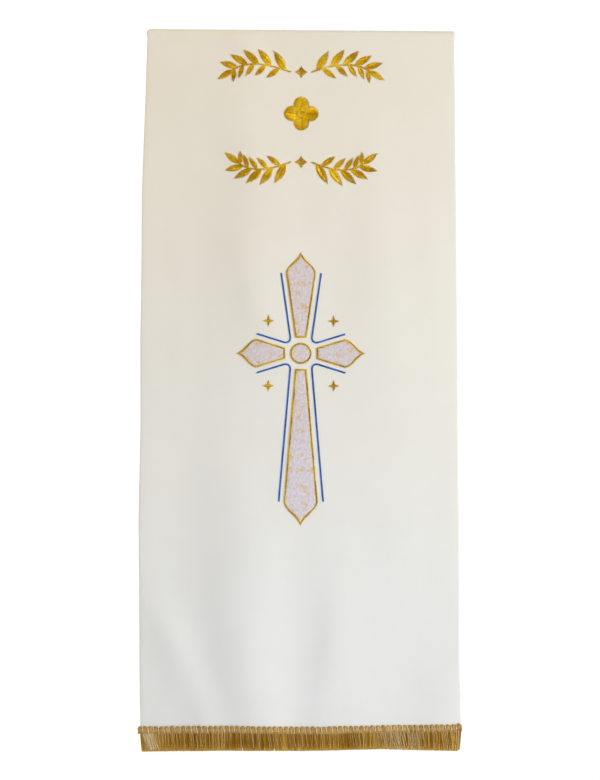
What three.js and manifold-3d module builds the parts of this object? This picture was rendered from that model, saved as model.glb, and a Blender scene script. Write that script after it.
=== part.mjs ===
// Ambo cloth: a cream woollen hanging with a turned-over top, appliqued and embroidered panels and a gold fringe.
// Millimetres. +Z is up, the front faces -Y, +X is to the right as seen from the front.
// The origin is on the underside of the crest of the turn-over, midway across the cloth.

import * as THREE from 'three';
import { mergeVertices } from 'three/addons/utils/BufferGeometryUtils.js';
import Module from 'manifold-3d';

const wasm = await Module();
wasm.setup();

// Cloth
const clothWidth = 500;
const clothLength = 1123;
const clothThickness = 1.2;
const hemThickness = 2.3;
const sideHem = 13;
const bottomHem = 22;
const hemStep = 1;
const turnRadius = 9;
const returnLength = 68;
const returnHem = 16;
const gap = 0.3;

// How far the left and right edges stand out from a straight side, at each drop below the crest
const edgeRows = [
  { drop: 0, left: 0, right: 0 },
  { drop: 7, left: 1.6, right: 1.4 },
  { drop: 16, left: 0.2, right: 0 },
  { drop: 50, left: 1.2, right: 0 },
  { drop: 115, left: 2.3, right: 0.4 },
  { drop: 180, left: 4.2, right: 0 },
  { drop: 275, left: 6.4, right: 0.5 },
  { drop: 440, left: 5.6, right: 0 },
  { drop: 505, left: 6.2, right: 0.5 },
  { drop: 650, left: 4.2, right: -0.2 },
  { drop: 800, left: 5.6, right: 0.3 },
  { drop: 915, left: 3, right: -0.6 },
  { drop: 1008, left: 1.7, right: -0.8 },
  { drop: 1070, left: 0.5, right: -0.2 },
  { drop: 1100, left: -0.8, right: 0 },
];

// Soft folds of the front fall. Each runs from one place to another, stands out by rise (in if negative),
// and comes up over fadeIn. One with fadeOut dies away over that drop after its end.
const foldRows = [
  { fromX: -120, fromDrop: 40, toX: -52, toDrop: 470, width: 34, rise: 2.2, fadeIn: 160, fadeOut: 150 },
  { fromX: -190, fromDrop: 120, toX: -186, toDrop: 860, width: 36, rise: -1.9, fadeIn: 200, fadeOut: 160 },
  { fromX: -226, fromDrop: 380, toX: -222, toDrop: 600, width: 13, rise: 1, fadeIn: 90, fadeOut: 120 },
  { fromX: 120, fromDrop: 180, toX: 150, toDrop: 560, width: 60, rise: 1.4, fadeIn: 240, fadeOut: 260 },
  { fromX: -104, fromDrop: 640, toX: -72, toDrop: 1123, width: 33, rise: 4.6, fadeIn: 280, fadeOut: 0 },
  { fromX: -246, fromDrop: 880, toX: -142, toDrop: 1123, width: 21, rise: 2.6, fadeIn: 110, fadeOut: 0 },
  { fromX: 18, fromDrop: 850, toX: -8, toDrop: 1123, width: 20, rise: -1.7, fadeIn: 150, fadeOut: 0 },
  { fromX: 74, fromDrop: 850, toX: 26, toDrop: 1123, width: 21, rise: 1.7, fadeIn: 150, fadeOut: 0 },
  { fromX: 186, fromDrop: 860, toX: 146, toDrop: 1123, width: 44, rise: -2.3, fadeIn: 190, fadeOut: 0 },
  { fromX: 236, fromDrop: 940, toX: 222, toDrop: 1123, width: 18, rise: 1.1, fadeIn: 140, fadeOut: 0 },
];

// Grid of the cloth
const innerColumns = 20;
const frontRows = 32;
const turnSteps = 8;
const returnRows = 2;

// Fringe
const headerTop = 1113.5;
const headerHeight = 12;
const headerThickness = 1.3;
const loopCount = 60;
const loopBulge = 1.7;
const endBulge = 0.35;
const strandsPerLoop = 3;
const skirtLength = 27;
const strandWidth = 2.3;
const strandRoot = 2.5;
const strandDepth = 0.75;
const strandTaper = 0.7;
const triangleBack = Math.sqrt(3) / 6;
const strandVary = 1.1;
const endLean = 2.4;
const endStrands = 9;
const fringeOverLeft = 3.5;
const fringeOverRight = 1.5;

// Embroidery
const panelHeight = 0.8;
const borderHeight = 1.2;
const borderWidth = 3.2;
const satinHeight = 1;
const crossDrop = 532;
const roundelRadius = 17;
const armRoot = 25;
const armRootHalf = 9;
const ogeeBulge = 0.95;
const ogeeHollow = 0.22;
const ogeeRise = 0.4;
const tipInset = 1.6;
const arms = [
  { name: 'cross_arm_top', turn: 0, length: 163, shoulder: 24, tip: 34 },
  { name: 'cross_arm_right', turn: -90, length: 102, shoulder: 23, tip: 32 },
  { name: 'cross_arm_left', turn: 90, length: 102, shoulder: 23, tip: 32 },
  { name: 'cross_arm_foot', turn: 180, length: 273, shoulder: 27, tip: 38 },
];
const lineWidth = 3;
const lineOffset = 8;
const lineBend = 9;
const budSize = 9;
const budWaist = 0.42;
const budPlace = 52;

const upperSprayDrop = 72;
const upperSprayReach = 142;
const rosetteDrop = 141;
const rosetteReach = 28;
const petalShare = 0.46;
const eyeShare = 0.62;
const lowerSprayDrop = 221;
const lowerSprayReach = 131;
const sprayStart = 17;
const sprayRise = 12;
const stemWidth = 2.8;
const leafPairs = 5;
const leafLength = 38;
const leafWidth = 13;
const leafAngle = 40;
const innerLeafAngle = 54;
const innerLeafScale = 0.72;
const firstPair = 0.35;
const pairStagger = 0.08;
const leafTaper = 0.22;
const endLeafPlace = 0.985;
const lozengeSize = 10;
const lozengeWaist = 0.6;

// Materials
const woolMaterial = new THREE.MeshStandardMaterial({ color: 0xe3dccb, roughness: 0.95, metalness: 0 });
const fringeMaterial = new THREE.MeshStandardMaterial({ color: 0xa8854a, roughness: 0.55, metalness: 0.2 });
const brocadeMaterial = new THREE.MeshStandardMaterial({ color: 0xd3cad0, roughness: 0.5, metalness: 0.25 });
const goldMaterial = new THREE.MeshStandardMaterial({ color: 0xcf9c26, roughness: 0.45, metalness: 0.3 });
const blueMaterial = new THREE.MeshStandardMaterial({ color: 0x2a5aa8, roughness: 0.5, metalness: 0 });

const object = new THREE.Group();
object.name = 'ambo_cloth';

function addMesh(name, geometry, material) {
  const mesh = new THREE.Mesh(geometry, material);
  mesh.name = name;
  object.add(mesh);
}

function smooth(value) {
  const t = Math.min(1, Math.max(0, value));
  return t * t * (3 - 2 * t);
}

// A value read between the rows of a table that is sorted by drop
function between(rows, column, drop) {
  const last = rows.length - 1;
  if (drop <= rows[0].drop) return rows[0][column];
  if (drop >= rows[last].drop) return rows[last][column];
  const next = rows.findIndex((row) => row.drop > drop);
  const low = rows[next - 1];
  const high = rows[next];
  return THREE.MathUtils.mapLinear(drop, low.drop, high.drop, low[column], high[column]);
}

// How far the front fall stands out towards the viewer at a place
function foldAt(x, drop) {
  let sum = 0;
  for (const fold of foldRows) {
    const along = Math.min(1, (drop - fold.fromDrop) / (fold.toDrop - fold.fromDrop));
    const centre = THREE.MathUtils.lerp(fold.fromX, fold.toX, along);
    const comingUp = smooth((drop - fold.fromDrop) / fold.fadeIn);
    const dyingAway = fold.fadeOut > 0 ? 1 - smooth((drop - fold.toDrop) / fold.fadeOut) : 1;
    const offset = (x - centre) / fold.width;
    sum += fold.rise * comingUp * dyingAway * Math.exp(-0.5 * offset * offset);
  }
  return sum;
}

// The front face of the fall. The folds run straight down through the bottom hem.
function frontFace(x, drop) {
  return -(turnRadius + clothThickness) - foldAt(x, Math.min(drop, clothLength - bottomHem));
}

// Columns across the cloth, as shares of its width from the left, with the step of each side hem
function columnShares() {
  const shares = [0, sideHem / clothWidth, (sideHem + hemStep) / clothWidth];
  const low = shares[2];
  for (let i = 1; i < innerColumns; i += 1) {
    shares.push(THREE.MathUtils.lerp(low, 1 - low, i / innerColumns));
  }
  shares.push(1 - low, 1 - shares[1], 1);
  return shares;
}

// Rows down the front fall, as drops below the crest, with the step of the bottom hem
function frontDrops() {
  const drops = [];
  const hemTop = clothLength - bottomHem;
  for (let i = 0; i <= frontRows; i += 1) {
    drops.push(THREE.MathUtils.lerp(turnRadius, hemTop - hemStep, i / frontRows));
  }
  drops.push(hemTop, clothLength);
  return drops;
}

const shares = columnShares();
const drops = frontDrops();

function edgeX(share, drop) {
  const left = -clothWidth / 2 - between(edgeRows, 'left', drop);
  const right = clothWidth / 2 + between(edgeRows, 'right', drop);
  return THREE.MathUtils.lerp(left, right, share);
}

// The cloth's rows in order, from the end of the return over the crest to the bottom hem.
// Each gives its line on the sheet's outer face and the direction that points in from there.
// The front fall's rows leave y to its folds.
function clothRows() {
  const outer = turnRadius + clothThickness;
  const rows = [];
  const returnDrops = [returnLength, returnLength - returnHem, returnLength - returnHem - hemStep];
  for (let i = 1; i <= returnRows; i += 1) {
    returnDrops.push(THREE.MathUtils.lerp(returnDrops[2], turnRadius, i / returnRows));
  }
  for (const drop of returnDrops) {
    rows.push({ y: outer, z: -drop, inY: -1, inZ: 0, hem: drop > returnLength - returnHem - hemStep / 2 });
  }
  for (let i = 1; i < turnSteps; i += 1) {
    const angle = (Math.PI * i) / turnSteps;
    const y = outer * Math.cos(angle);
    const z = -turnRadius + outer * Math.sin(angle);
    const inY = -Math.cos(angle);
    const inZ = -Math.sin(angle);
    rows.push({ y, z, inY, inZ, hem: false });
  }
  for (const drop of drops) {
    rows.push({ y: null, z: -drop, inY: 1, inZ: 0, hem: drop > clothLength - bottomHem - hemStep / 2 });
  }
  return rows;
}

// A closed sheet from a grid of outer points and a grid of inner points
function sheetGeometry(outer, inner) {
  const rowCount = outer.length;
  const columnCount = outer[0].length;
  const positions = [...outer.flat(2), ...inner.flat(2)];
  const index = [];
  const at = (row, column, side) => side * rowCount * columnCount + row * columnCount + column;
  const quad = (a, b, c, d) => index.push(a, b, c, a, c, d);
  for (let r = 0; r < rowCount - 1; r += 1) {
    for (let c = 0; c < columnCount - 1; c += 1) {
      quad(at(r, c, 0), at(r + 1, c, 0), at(r + 1, c + 1, 0), at(r, c + 1, 0));
      quad(at(r, c, 1), at(r, c + 1, 1), at(r + 1, c + 1, 1), at(r + 1, c, 1));
    }
  }
  const last = columnCount - 1;
  for (let r = 0; r < rowCount - 1; r += 1) {
    quad(at(r, 0, 0), at(r, 0, 1), at(r + 1, 0, 1), at(r + 1, 0, 0));
    quad(at(r, last, 0), at(r + 1, last, 0), at(r + 1, last, 1), at(r, last, 1));
  }
  const end = rowCount - 1;
  for (let c = 0; c < columnCount - 1; c += 1) {
    quad(at(0, c, 0), at(0, c + 1, 0), at(0, c + 1, 1), at(0, c, 1));
    quad(at(end, c, 0), at(end, c, 1), at(end, c + 1, 1), at(end, c + 1, 0));
  }
  const geometry = new THREE.BufferGeometry();
  geometry.setAttribute('position', new THREE.Float32BufferAttribute(positions, 3));
  geometry.setIndex(index);
  return geometry;
}

// The cloth: return, turn and front fall in one sheet, thicker where its hems are folded in
function clothGeometry() {
  const outer = [];
  const inner = [];
  for (const row of clothRows()) {
    const outerLine = [];
    const innerLine = [];
    for (const share of shares) {
      const x = edgeX(share, -row.z);
      const fromEdge = Math.min(share, 1 - share) * clothWidth;
      const thick = row.hem || fromEdge < sideHem + hemStep / 2 ? hemThickness : clothThickness;
      const y = row.y === null ? frontFace(x, -row.z) : row.y;
      outerLine.push([x, y, row.z]);
      innerLine.push([x, y + row.inY * thick, row.z + row.inZ * thick]);
    }
    outer.push(outerLine);
    inner.push(innerLine);
  }
  return sheetGeometry(outer, inner);
}

function toSolid(geometry) {
  const bare = geometry.clone();
  bare.deleteAttribute('normal');
  bare.deleteAttribute('uv');
  const merged = mergeVertices(bare, 1e-4);
  const vertProperties = new Float32Array(merged.attributes.position.array);
  const triVerts = new Uint32Array(merged.index.array);
  return new wasm.Manifold(new wasm.Mesh({ numProp: 3, vertProperties, triVerts }));
}

function toGeometry(solid) {
  const mesh = solid.getMesh();
  const geometry = new THREE.BufferGeometry();
  geometry.setAttribute('position', new THREE.BufferAttribute(new Float32Array(mesh.vertProperties), 3));
  geometry.setIndex(Array.from(mesh.triVerts));
  return geometry;
}

// A layer that lies on the front of the cloth, a small gap off it and as thick as height.
// It follows the same grid, so its back stays parallel to the cloth.
function layerSolid(height, topDrop, bottomDrop) {
  const rows = drops.filter((drop, i) => {
    const before = drops[Math.max(0, i - 1)];
    const after = drops[Math.min(drops.length - 1, i + 1)];
    return after > topDrop && before < bottomDrop;
  });
  const level = (lift) => rows.map((drop) => shares.map((share) => {
    const x = edgeX(share, drop);
    return [x, frontFace(x, drop) - lift, -drop];
  }));
  return toSolid(sheetGeometry(level(gap + height), level(gap)));
}

// A flat outline, drawn in X and Z, as a prism that runs through the cloth from front to back
function prismSolid(shape, curveSegments) {
  const depth = 80;
  const geometry = new THREE.ExtrudeGeometry(shape, { depth, bevelEnabled: false, curveSegments });
  geometry.rotateX(Math.PI / 2);
  geometry.translate(0, depth / 2, 0);
  return toSolid(geometry);
}

// The part of a layer that lies inside an outline or a union of outlines
function raised(prism, height, topDrop, bottomDrop) {
  return layerSolid(height, topDrop, bottomDrop).intersect(prism);
}

function shapeDrops(prism) {
  const box = prism.boundingBox();
  return { topDrop: -box.max[2], bottomDrop: -box.min[2] };
}

function placed(shapePoints, turn, x, z) {
  const angle = THREE.MathUtils.degToRad(turn);
  return shapePoints.map((point) => {
    const turned = point.clone().rotateAround(new THREE.Vector2(0, 0), angle);
    return turned.add(new THREE.Vector2(x, z));
  });
}

// One arm's outline, growing outwards from its root: straight flared flanks and a pointed ogee tip.
// inset draws the same outline inside its border.
function armPoints(arm, inset) {
  const shoulderAt = arm.length - arm.tip;
  const flare = (arm.shoulder - armRootHalf) / (shoulderAt - armRoot);
  const root = armRoot + inset;
  const rootHalf = armRootHalf + flare * inset - inset;
  const shoulder = arm.shoulder - inset;
  const point = arm.length - inset * tipInset;
  const shape = new THREE.Shape();
  shape.moveTo(rootHalf, root);
  shape.lineTo(shoulder, shoulderAt);
  const bulge = new THREE.Vector2(shoulder * ogeeBulge, shoulderAt + arm.tip * ogeeRise);
  const hollow = new THREE.Vector2(shoulder * ogeeHollow, point - arm.tip * ogeeRise);
  shape.bezierCurveTo(bulge.x, bulge.y, hollow.x, hollow.y, 0, point);
  shape.bezierCurveTo(-hollow.x, hollow.y, -bulge.x, bulge.y, -shoulder, shoulderAt);
  shape.lineTo(-rootHalf, root);
  return shape.getPoints(6);
}

function circlePoints(radius, segments) {
  const points = [];
  for (let i = 0; i < segments; i += 1) {
    const angle = (2 * Math.PI * i) / segments;
    points.push(new THREE.Vector2(radius * Math.cos(angle), radius * Math.sin(angle)));
  }
  return points;
}

// A brocade panel with a satin-stitched border that stands a little higher than its field
function addPanel(name, outline, field) {
  const whole = prismSolid(new THREE.Shape(outline));
  const middle = prismSolid(new THREE.Shape(field));
  const { topDrop, bottomDrop } = shapeDrops(whole);
  const border = raised(whole.subtract(middle), borderHeight, topDrop, bottomDrop);
  const ground = raised(whole, panelHeight, topDrop, bottomDrop);
  addMesh(name, toGeometry(ground.add(border)), brocadeMaterial);
}

function addSatin(name, prism, material) {
  const { topDrop, bottomDrop } = shapeDrops(prism);
  addMesh(name, toGeometry(raised(prism, satinHeight, topDrop, bottomDrop)), material);
}

function addCross() {
  for (const arm of arms) {
    const outline = placed(armPoints(arm, 0), arm.turn, 0, -crossDrop);
    const field = placed(armPoints(arm, borderWidth), arm.turn, 0, -crossDrop);
    addPanel(arm.name, outline, field);
  }
  const segments = 28;
  const rim = placed(circlePoints(roundelRadius, segments), 0, 0, -crossDrop);
  const field = placed(circlePoints(roundelRadius - borderWidth, segments), 0, 0, -crossDrop);
  addPanel('cross_roundel', rim, field);
}

// A ribbon of one width along a run of points
function ribbonShape(points, width) {
  const left = [];
  const right = [];
  points.forEach((point, i) => {
    const before = points[Math.max(0, i - 1)];
    const after = points[Math.min(points.length - 1, i + 1)];
    const across = after.clone().sub(before).normalize().rotateAround(new THREE.Vector2(0, 0), Math.PI / 2);
    left.push(point.clone().addScaledVector(across, width / 2));
    right.push(point.clone().addScaledVector(across, -width / 2));
  });
  return new THREE.Shape([...left, ...right.reverse()]);
}

// The flank of an arm, moved out by lineOffset: where it starts by the tip and where it nears the crossing
function flankLine(arm) {
  const shoulderAt = arm.length - arm.tip;
  const flare = (arm.shoulder - armRootHalf) / (shoulderAt - armRoot);
  const out = (along) => armRootHalf + flare * (along - armRoot) + lineOffset;
  const outer = new THREE.Vector2(out(shoulderAt), shoulderAt);
  const inner = new THREE.Vector2(out(armRoot), armRoot);
  return { outer, inner };
}

// A blue line in each quarter: in along one arm's flank, round the corner at the crossing, out along the next
function addBlueLines() {
  const [top, right, left, foot] = arms;
  const quarters = [
    { name: 'blue_line_upper_right', upright: top, side: right, signX: 1, signZ: 1 },
    { name: 'blue_line_upper_left', upright: top, side: left, signX: -1, signZ: 1 },
    { name: 'blue_line_lower_right', upright: foot, side: right, signX: 1, signZ: -1 },
    { name: 'blue_line_lower_left', upright: foot, side: left, signX: -1, signZ: -1 },
  ];
  for (const quarter of quarters) {
    const up = flankLine(quarter.upright);
    const side = flankLine(quarter.side);
    const corner = new THREE.Vector2(up.inner.x, side.inner.x);
    const curve = new THREE.QuadraticBezierCurve(
      new THREE.Vector2(corner.x + 0.3, corner.y + lineBend),
      corner,
      new THREE.Vector2(corner.x + lineBend, corner.y + 0.3),
    );
    const sideOuter = new THREE.Vector2(side.outer.y, side.outer.x);
    const run = [up.outer, ...curve.getPoints(4), sideOuter];
    const points = run.map((p) => new THREE.Vector2(p.x * quarter.signX, p.y * quarter.signZ - crossDrop));
    addSatin(quarter.name, prismSolid(ribbonShape(points, lineWidth)), blueMaterial);
  }
}

// A four-pointed bud with hollow sides
function budPoints(size, waist) {
  const points = [];
  for (let i = 0; i < 4; i += 1) {
    const angle = (Math.PI * i) / 2;
    const middle = angle + Math.PI / 4;
    points.push(new THREE.Vector2(size * Math.cos(angle), size * Math.sin(angle)));
    points.push(new THREE.Vector2(size * waist * Math.cos(middle), size * waist * Math.sin(middle)));
  }
  return points;
}

function addBuds() {
  const quarters = [
    { name: 'bud_upper_right', signX: 1, signZ: 1 },
    { name: 'bud_upper_left', signX: -1, signZ: 1 },
    { name: 'bud_lower_right', signX: 1, signZ: -1 },
    { name: 'bud_lower_left', signX: -1, signZ: -1 },
  ];
  for (const quarter of quarters) {
    const x = budPlace * quarter.signX;
    const z = -crossDrop + budPlace * quarter.signZ;
    const shape = new THREE.Shape(placed(budPoints(budSize, budWaist), 0, x, z));
    addSatin(quarter.name, prismSolid(shape), goldMaterial);
  }
}

// A pointed leaf along +X from its foot, as long and wide as given
function leafPoints(length, width) {
  const shape = new THREE.Shape();
  shape.moveTo(0, 0);
  shape.quadraticCurveTo(length * 0.42, width * 1.02, length, 0);
  shape.quadraticCurveTo(length * 0.42, -width * 1.02, 0, 0);
  return shape.getPoints(4);
}

// One spray: a bowed stem with pairs of leaves that grow smaller outwards and a last leaf at its end.
// The leaves on its hollow side are smaller and stand further off it.
function sprayPrism(reach, bow, side, drop) {
  const stem = new THREE.QuadraticBezierCurve(
    new THREE.Vector2(sprayStart, 0),
    new THREE.Vector2((sprayStart + reach) / 2, bow * 2),
    new THREE.Vector2(reach - leafLength * 0.8, bow * 0.2),
  );
  const mirrored = (points) => points.map((p) => new THREE.Vector2(p.x * side, p.y - drop));
  let prism = prismSolid(ribbonShape(mirrored(stem.getPoints(8)), stemWidth));
  const addLeaf = (at, angle, scale) => {
    const foot = stem.getPoint(at);
    const leaf = placed(leafPoints(leafLength * scale, leafWidth * scale), angle, foot.x, foot.y);
    prism = prism.add(prismSolid(new THREE.Shape(mirrored(leaf))));
  };
  const outward = Math.sign(bow);
  for (let i = 0; i < leafPairs; i += 1) {
    const at = (i + firstPair) / leafPairs;
    const tangent = stem.getTangent(at);
    const heading = THREE.MathUtils.radToDeg(Math.atan2(tangent.y, tangent.x));
    const scale = 1 - leafTaper * at;
    addLeaf(at, heading + outward * leafAngle, scale);
    addLeaf(Math.min(1, at + pairStagger), heading - outward * innerLeafAngle, scale * innerLeafScale);
  }
  const endTangent = stem.getTangent(1);
  addLeaf(endLeafPlace, THREE.MathUtils.radToDeg(Math.atan2(endTangent.y, endTangent.x)), 1 - leafTaper);
  return prism;
}

// A rosette of four round petals about a small eye
function rosettePrism(reach, drop) {
  const petal = reach * petalShare;
  let prism = prismSolid(new THREE.Shape(placed(circlePoints(petal * eyeShare, 12), 0, 0, -drop)));
  for (let i = 0; i < 4; i += 1) {
    const angle = (Math.PI * i) / 2;
    const x = (reach - petal) * Math.cos(angle);
    const z = (reach - petal) * Math.sin(angle) - drop;
    prism = prism.add(prismSolid(new THREE.Shape(placed(circlePoints(petal, 14), 0, x, z))));
  }
  return prism;
}

function addOrnament() {
  const rows = [
    { name: 'upper', drop: upperSprayDrop, reach: upperSprayReach, bow: sprayRise },
    { name: 'lower', drop: lowerSprayDrop, reach: lowerSprayReach, bow: -sprayRise },
  ];
  for (const row of rows) {
    addSatin(`${row.name}_spray_left`, sprayPrism(row.reach, row.bow, -1, row.drop), goldMaterial);
    addSatin(`${row.name}_spray_right`, sprayPrism(row.reach, row.bow, 1, row.drop), goldMaterial);
    const lozenge = new THREE.Shape(placed(budPoints(lozengeSize, lozengeWaist), 0, 0, -row.drop));
    addSatin(`${row.name}_lozenge`, prismSolid(lozenge), goldMaterial);
  }
  addSatin('middle_rosette', rosettePrism(rosetteReach, rosetteDrop), goldMaterial);
}

// The front face of the bottom hem between two columns of the cloth's grid
function hemFace(x) {
  const columns = shares.map((share) => edgeX(share, clothLength));
  const next = Math.min(columns.length - 1, Math.max(1, columns.findIndex((column) => column > x)));
  const low = columns[next - 1];
  const high = columns[next];
  const inside = THREE.MathUtils.clamp(x, columns[0], columns[columns.length - 1]);
  return THREE.MathUtils.mapLinear(inside, low, high, frontFace(low, clothLength), frontFace(high, clothLength));
}

// The fringe's header: a narrow woven strip whose thread loops stand out as upright ribs
function headerSolid(left, right) {
  const outer = [];
  const inner = [];
  const columns = loopCount * 2;
  const heights = [0, 0.5, 1];
  for (const height of heights) {
    const drop = headerTop + headerHeight * height;
    const round = height === 0.5 ? 1 : endBulge;
    const outerLine = [];
    const innerLine = [];
    for (let i = 0; i <= columns; i += 1) {
      const x = THREE.MathUtils.lerp(left, right, i / columns);
      const back = hemFace(x) - gap;
      const bulge = (i % 2 === 1 ? loopBulge : 0) * round;
      outerLine.push([x, back - headerThickness - bulge, -drop]);
      innerLine.push([x, back, -drop]);
    }
    outer.push(outerLine);
    inner.push(innerLine);
  }
  return toSolid(sheetGeometry(outer, inner));
}

// One strand: a tapered three-sided lock from inside the header down to its end
function strandSolid(x, lean, length) {
  const top = headerTop + headerHeight - strandRoot;
  const bottom = headerTop + headerHeight + length;
  const middle = hemFace(x) - gap - headerThickness * strandDepth;
  const ring = (atX, drop, width) => [
    [atX - width / 2, middle + width * triangleBack, -drop],
    [atX, middle - width * triangleBack * 2, -drop],
    [atX + width / 2, middle + width * triangleBack, -drop],
  ];
  const points = [...ring(x, top, strandWidth), ...ring(x + lean, bottom, strandWidth * strandTaper)];
  const index = [0, 1, 2, 3, 5, 4, 0, 3, 4, 0, 4, 1, 1, 4, 5, 1, 5, 2, 2, 5, 3, 2, 3, 0];
  const geometry = new THREE.BufferGeometry();
  geometry.setAttribute('position', new THREE.Float32BufferAttribute(points.flat(), 3));
  geometry.setIndex(index);
  return toSolid(geometry);
}

// A wave that never quite repeats, from -1 to 1, for the small differences between strands
function uneven(i) {
  return 0.5 * Math.sin(i * 2.39) + 0.3 * Math.sin(i * 0.61 + 1) + 0.2 * Math.sin(i * 0.17 + 2);
}

function addFringe() {
  const left = edgeX(0, clothLength) - fringeOverLeft;
  const right = edgeX(1, clothLength) + fringeOverRight;
  const strandCount = loopCount * strandsPerLoop;
  const pitch = (right - left) / strandCount;
  const strands = [];
  for (let i = 0; i < strandCount; i += 1) {
    const x = left + pitch * (i + 0.5);
    const turnedIn = endLean * (1 - smooth(i / endStrands)) - endLean * smooth((i - strandCount) / endStrands + 1);
    strands.push(strandSolid(x, uneven(i * 0.35) * strandVary + turnedIn, skirtLength + uneven(i) * strandVary));
  }
  let fringe = headerSolid(left, right);
  for (const strand of strands) {
    fringe = fringe.add(strand);
  }
  addMesh('fringe', toGeometry(fringe), fringeMaterial);
}

addMesh('cloth', clothGeometry(), woolMaterial);
addFringe();
addCross();
addBlueLines();
addBuds();
addOrnament();

export default object;
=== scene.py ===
import math
import bmesh
import bpy
import numpy as np
from mathutils import Matrix, Vector
from mathutils.geometry import delaunay_2d_cdt


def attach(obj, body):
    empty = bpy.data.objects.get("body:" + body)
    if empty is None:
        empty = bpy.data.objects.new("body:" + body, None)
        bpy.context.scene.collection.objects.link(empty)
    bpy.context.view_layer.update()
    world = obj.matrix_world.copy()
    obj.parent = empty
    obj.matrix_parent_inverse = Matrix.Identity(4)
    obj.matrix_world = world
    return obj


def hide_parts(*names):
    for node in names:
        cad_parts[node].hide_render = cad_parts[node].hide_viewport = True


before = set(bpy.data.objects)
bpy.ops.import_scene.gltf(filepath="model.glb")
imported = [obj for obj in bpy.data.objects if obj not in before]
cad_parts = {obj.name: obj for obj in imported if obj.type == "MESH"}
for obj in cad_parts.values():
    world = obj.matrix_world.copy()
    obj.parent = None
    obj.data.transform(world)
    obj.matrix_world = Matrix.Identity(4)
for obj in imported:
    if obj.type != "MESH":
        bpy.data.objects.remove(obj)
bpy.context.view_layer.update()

# Ambo cloth in metres. +Z is up and the front faces -Y. The origin is under the crest of the turned-over top,
# and "drop" is a distance down the front below the crest.


# Node trees

class Wire:
    # one socket of a node tree; sums on it add Math nodes
    def __init__(self, board, socket):
        self.board = board
        self.socket = socket

    def output(self, name):
        return Wire(self.board, findSocket(self.socket.node.outputs, name))

    def __add__(self, other):
        return self.board.math("ADD", self, other)

    def __radd__(self, other):
        return self.board.math("ADD", other, self)

    def __sub__(self, other):
        return self.board.math("SUBTRACT", self, other)

    def __rsub__(self, other):
        return self.board.math("SUBTRACT", other, self)

    def __mul__(self, other):
        return self.board.math("MULTIPLY", self, other)

    def __rmul__(self, other):
        return self.board.math("MULTIPLY", other, self)

    def __truediv__(self, other):
        return self.board.math("DIVIDE", self, other)

    def __pow__(self, other):
        return self.board.math("POWER", self, other)


def findSocket(sockets, key):
    if isinstance(key, int):
        return sockets[key]
    for socket in sockets:
        if socket.identifier == key:
            return socket
    return sockets[key]


class Board:
    # a node tree, with one way to add any node
    def __init__(self, tree):
        self.tree = tree
        self.given = {}

    def node(self, kind, settings=None, sockets=None, out=0):
        made = self.tree.nodes.new(kind)
        for name, value in (settings or {}).items():
            if name == "stops":
                self.setStops(made.color_ramp, value)
            else:
                setattr(made, name, value)
        for name, value in (sockets or {}).items():
            socket = findSocket(made.inputs, name)
            for link in value if isinstance(value, list) else [value]:
                if isinstance(link, Wire):
                    self.tree.links.new(link.socket, socket)
                else:
                    socket.default_value = link
        return Wire(self, findSocket(made.outputs, out)) if len(made.outputs) else None

    def setStops(self, ramp, stops):
        while len(ramp.elements) < len(stops):
            ramp.elements.new(1)
        for element, (place, colour) in zip(ramp.elements, stops):
            element.position = place
            element.color = colour

    def math(self, operation, *values):
        settings = {"operation": operation}
        return self.node("ShaderNodeMath", settings, dict(enumerate(values)))

    def vector(self, x=0.0, y=0.0, z=0.0):
        return self.node("ShaderNodeCombineXYZ", {}, {"X": x, "Y": y, "Z": z})

    def noise(self, place, scale, detail=2.0, roughness=0.5):
        sockets = {"Vector": place, "Scale": scale, "Detail": detail, "Roughness": roughness}
        return self.node("ShaderNodeTexNoise", {}, sockets, "Fac")

    def mapRange(self, value, low, high, newLow=0.0, newHigh=1.0):
        sockets = {"Value": value, "From Min": low, "From Max": high, "To Min": newLow, "To Max": newHigh}
        return self.node("ShaderNodeMapRange", {"interpolation_type": "SMOOTHSTEP"}, sockets)

    def mixColour(self, factor, low, high, blend="MIX"):
        sockets = {"Factor_Float": factor, "A_Color": low, "B_Color": high}
        return self.node("ShaderNodeMix", {"data_type": "RGBA", "blend_type": blend}, sockets, "Result_Color")

    def random(self, low, high, key, seed):
        sockets = {"Min_001": low, "Max_001": high, "ID": key, "Seed": seed}
        return self.node("FunctionNodeRandomValue", {"data_type": "FLOAT"}, sockets, "Value_001")

    def stored(self, geometry, name, value):
        sockets = {"Geometry": geometry, "Name": name, "Value": value}
        settings = {"data_type": "FLOAT", "domain": "POINT"}
        return self.node("GeometryNodeStoreNamedAttribute", settings, sockets)

    def named(self, name, kind="FLOAT"):
        return self.node("GeometryNodeInputNamedAttribute", {"data_type": kind}, {"Name": name}, "Attribute")

    def coordinates(self, kind="Object"):
        return self.node("ShaderNodeTexCoord", {}, {}, kind)

    def separate(self, vector):
        x = self.node("ShaderNodeSeparateXYZ", {}, {"Vector": vector}, "X")
        return x, x.output("Y"), x.output("Z")

    def along(self):
        # 0 at the start of a thread and 1 at its end
        return self.node("GeometryNodeSplineParameter", {}, {}, "Factor")

    def shifted(self, geometry, offset):
        return self.node("GeometryNodeSetPosition", {}, {"Geometry": geometry, "Offset": offset})

    def tube(self, curve, sides, radius, scale=1.0):
        ring = self.node("GeometryNodeCurvePrimitiveCircle", {}, {"Resolution": sides, "Radius": radius})
        sockets = {"Curve": curve, "Profile Curve": ring, "Scale": scale, "Fill Caps": True}
        return self.node("GeometryNodeCurveToMesh", {}, sockets)


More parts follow.
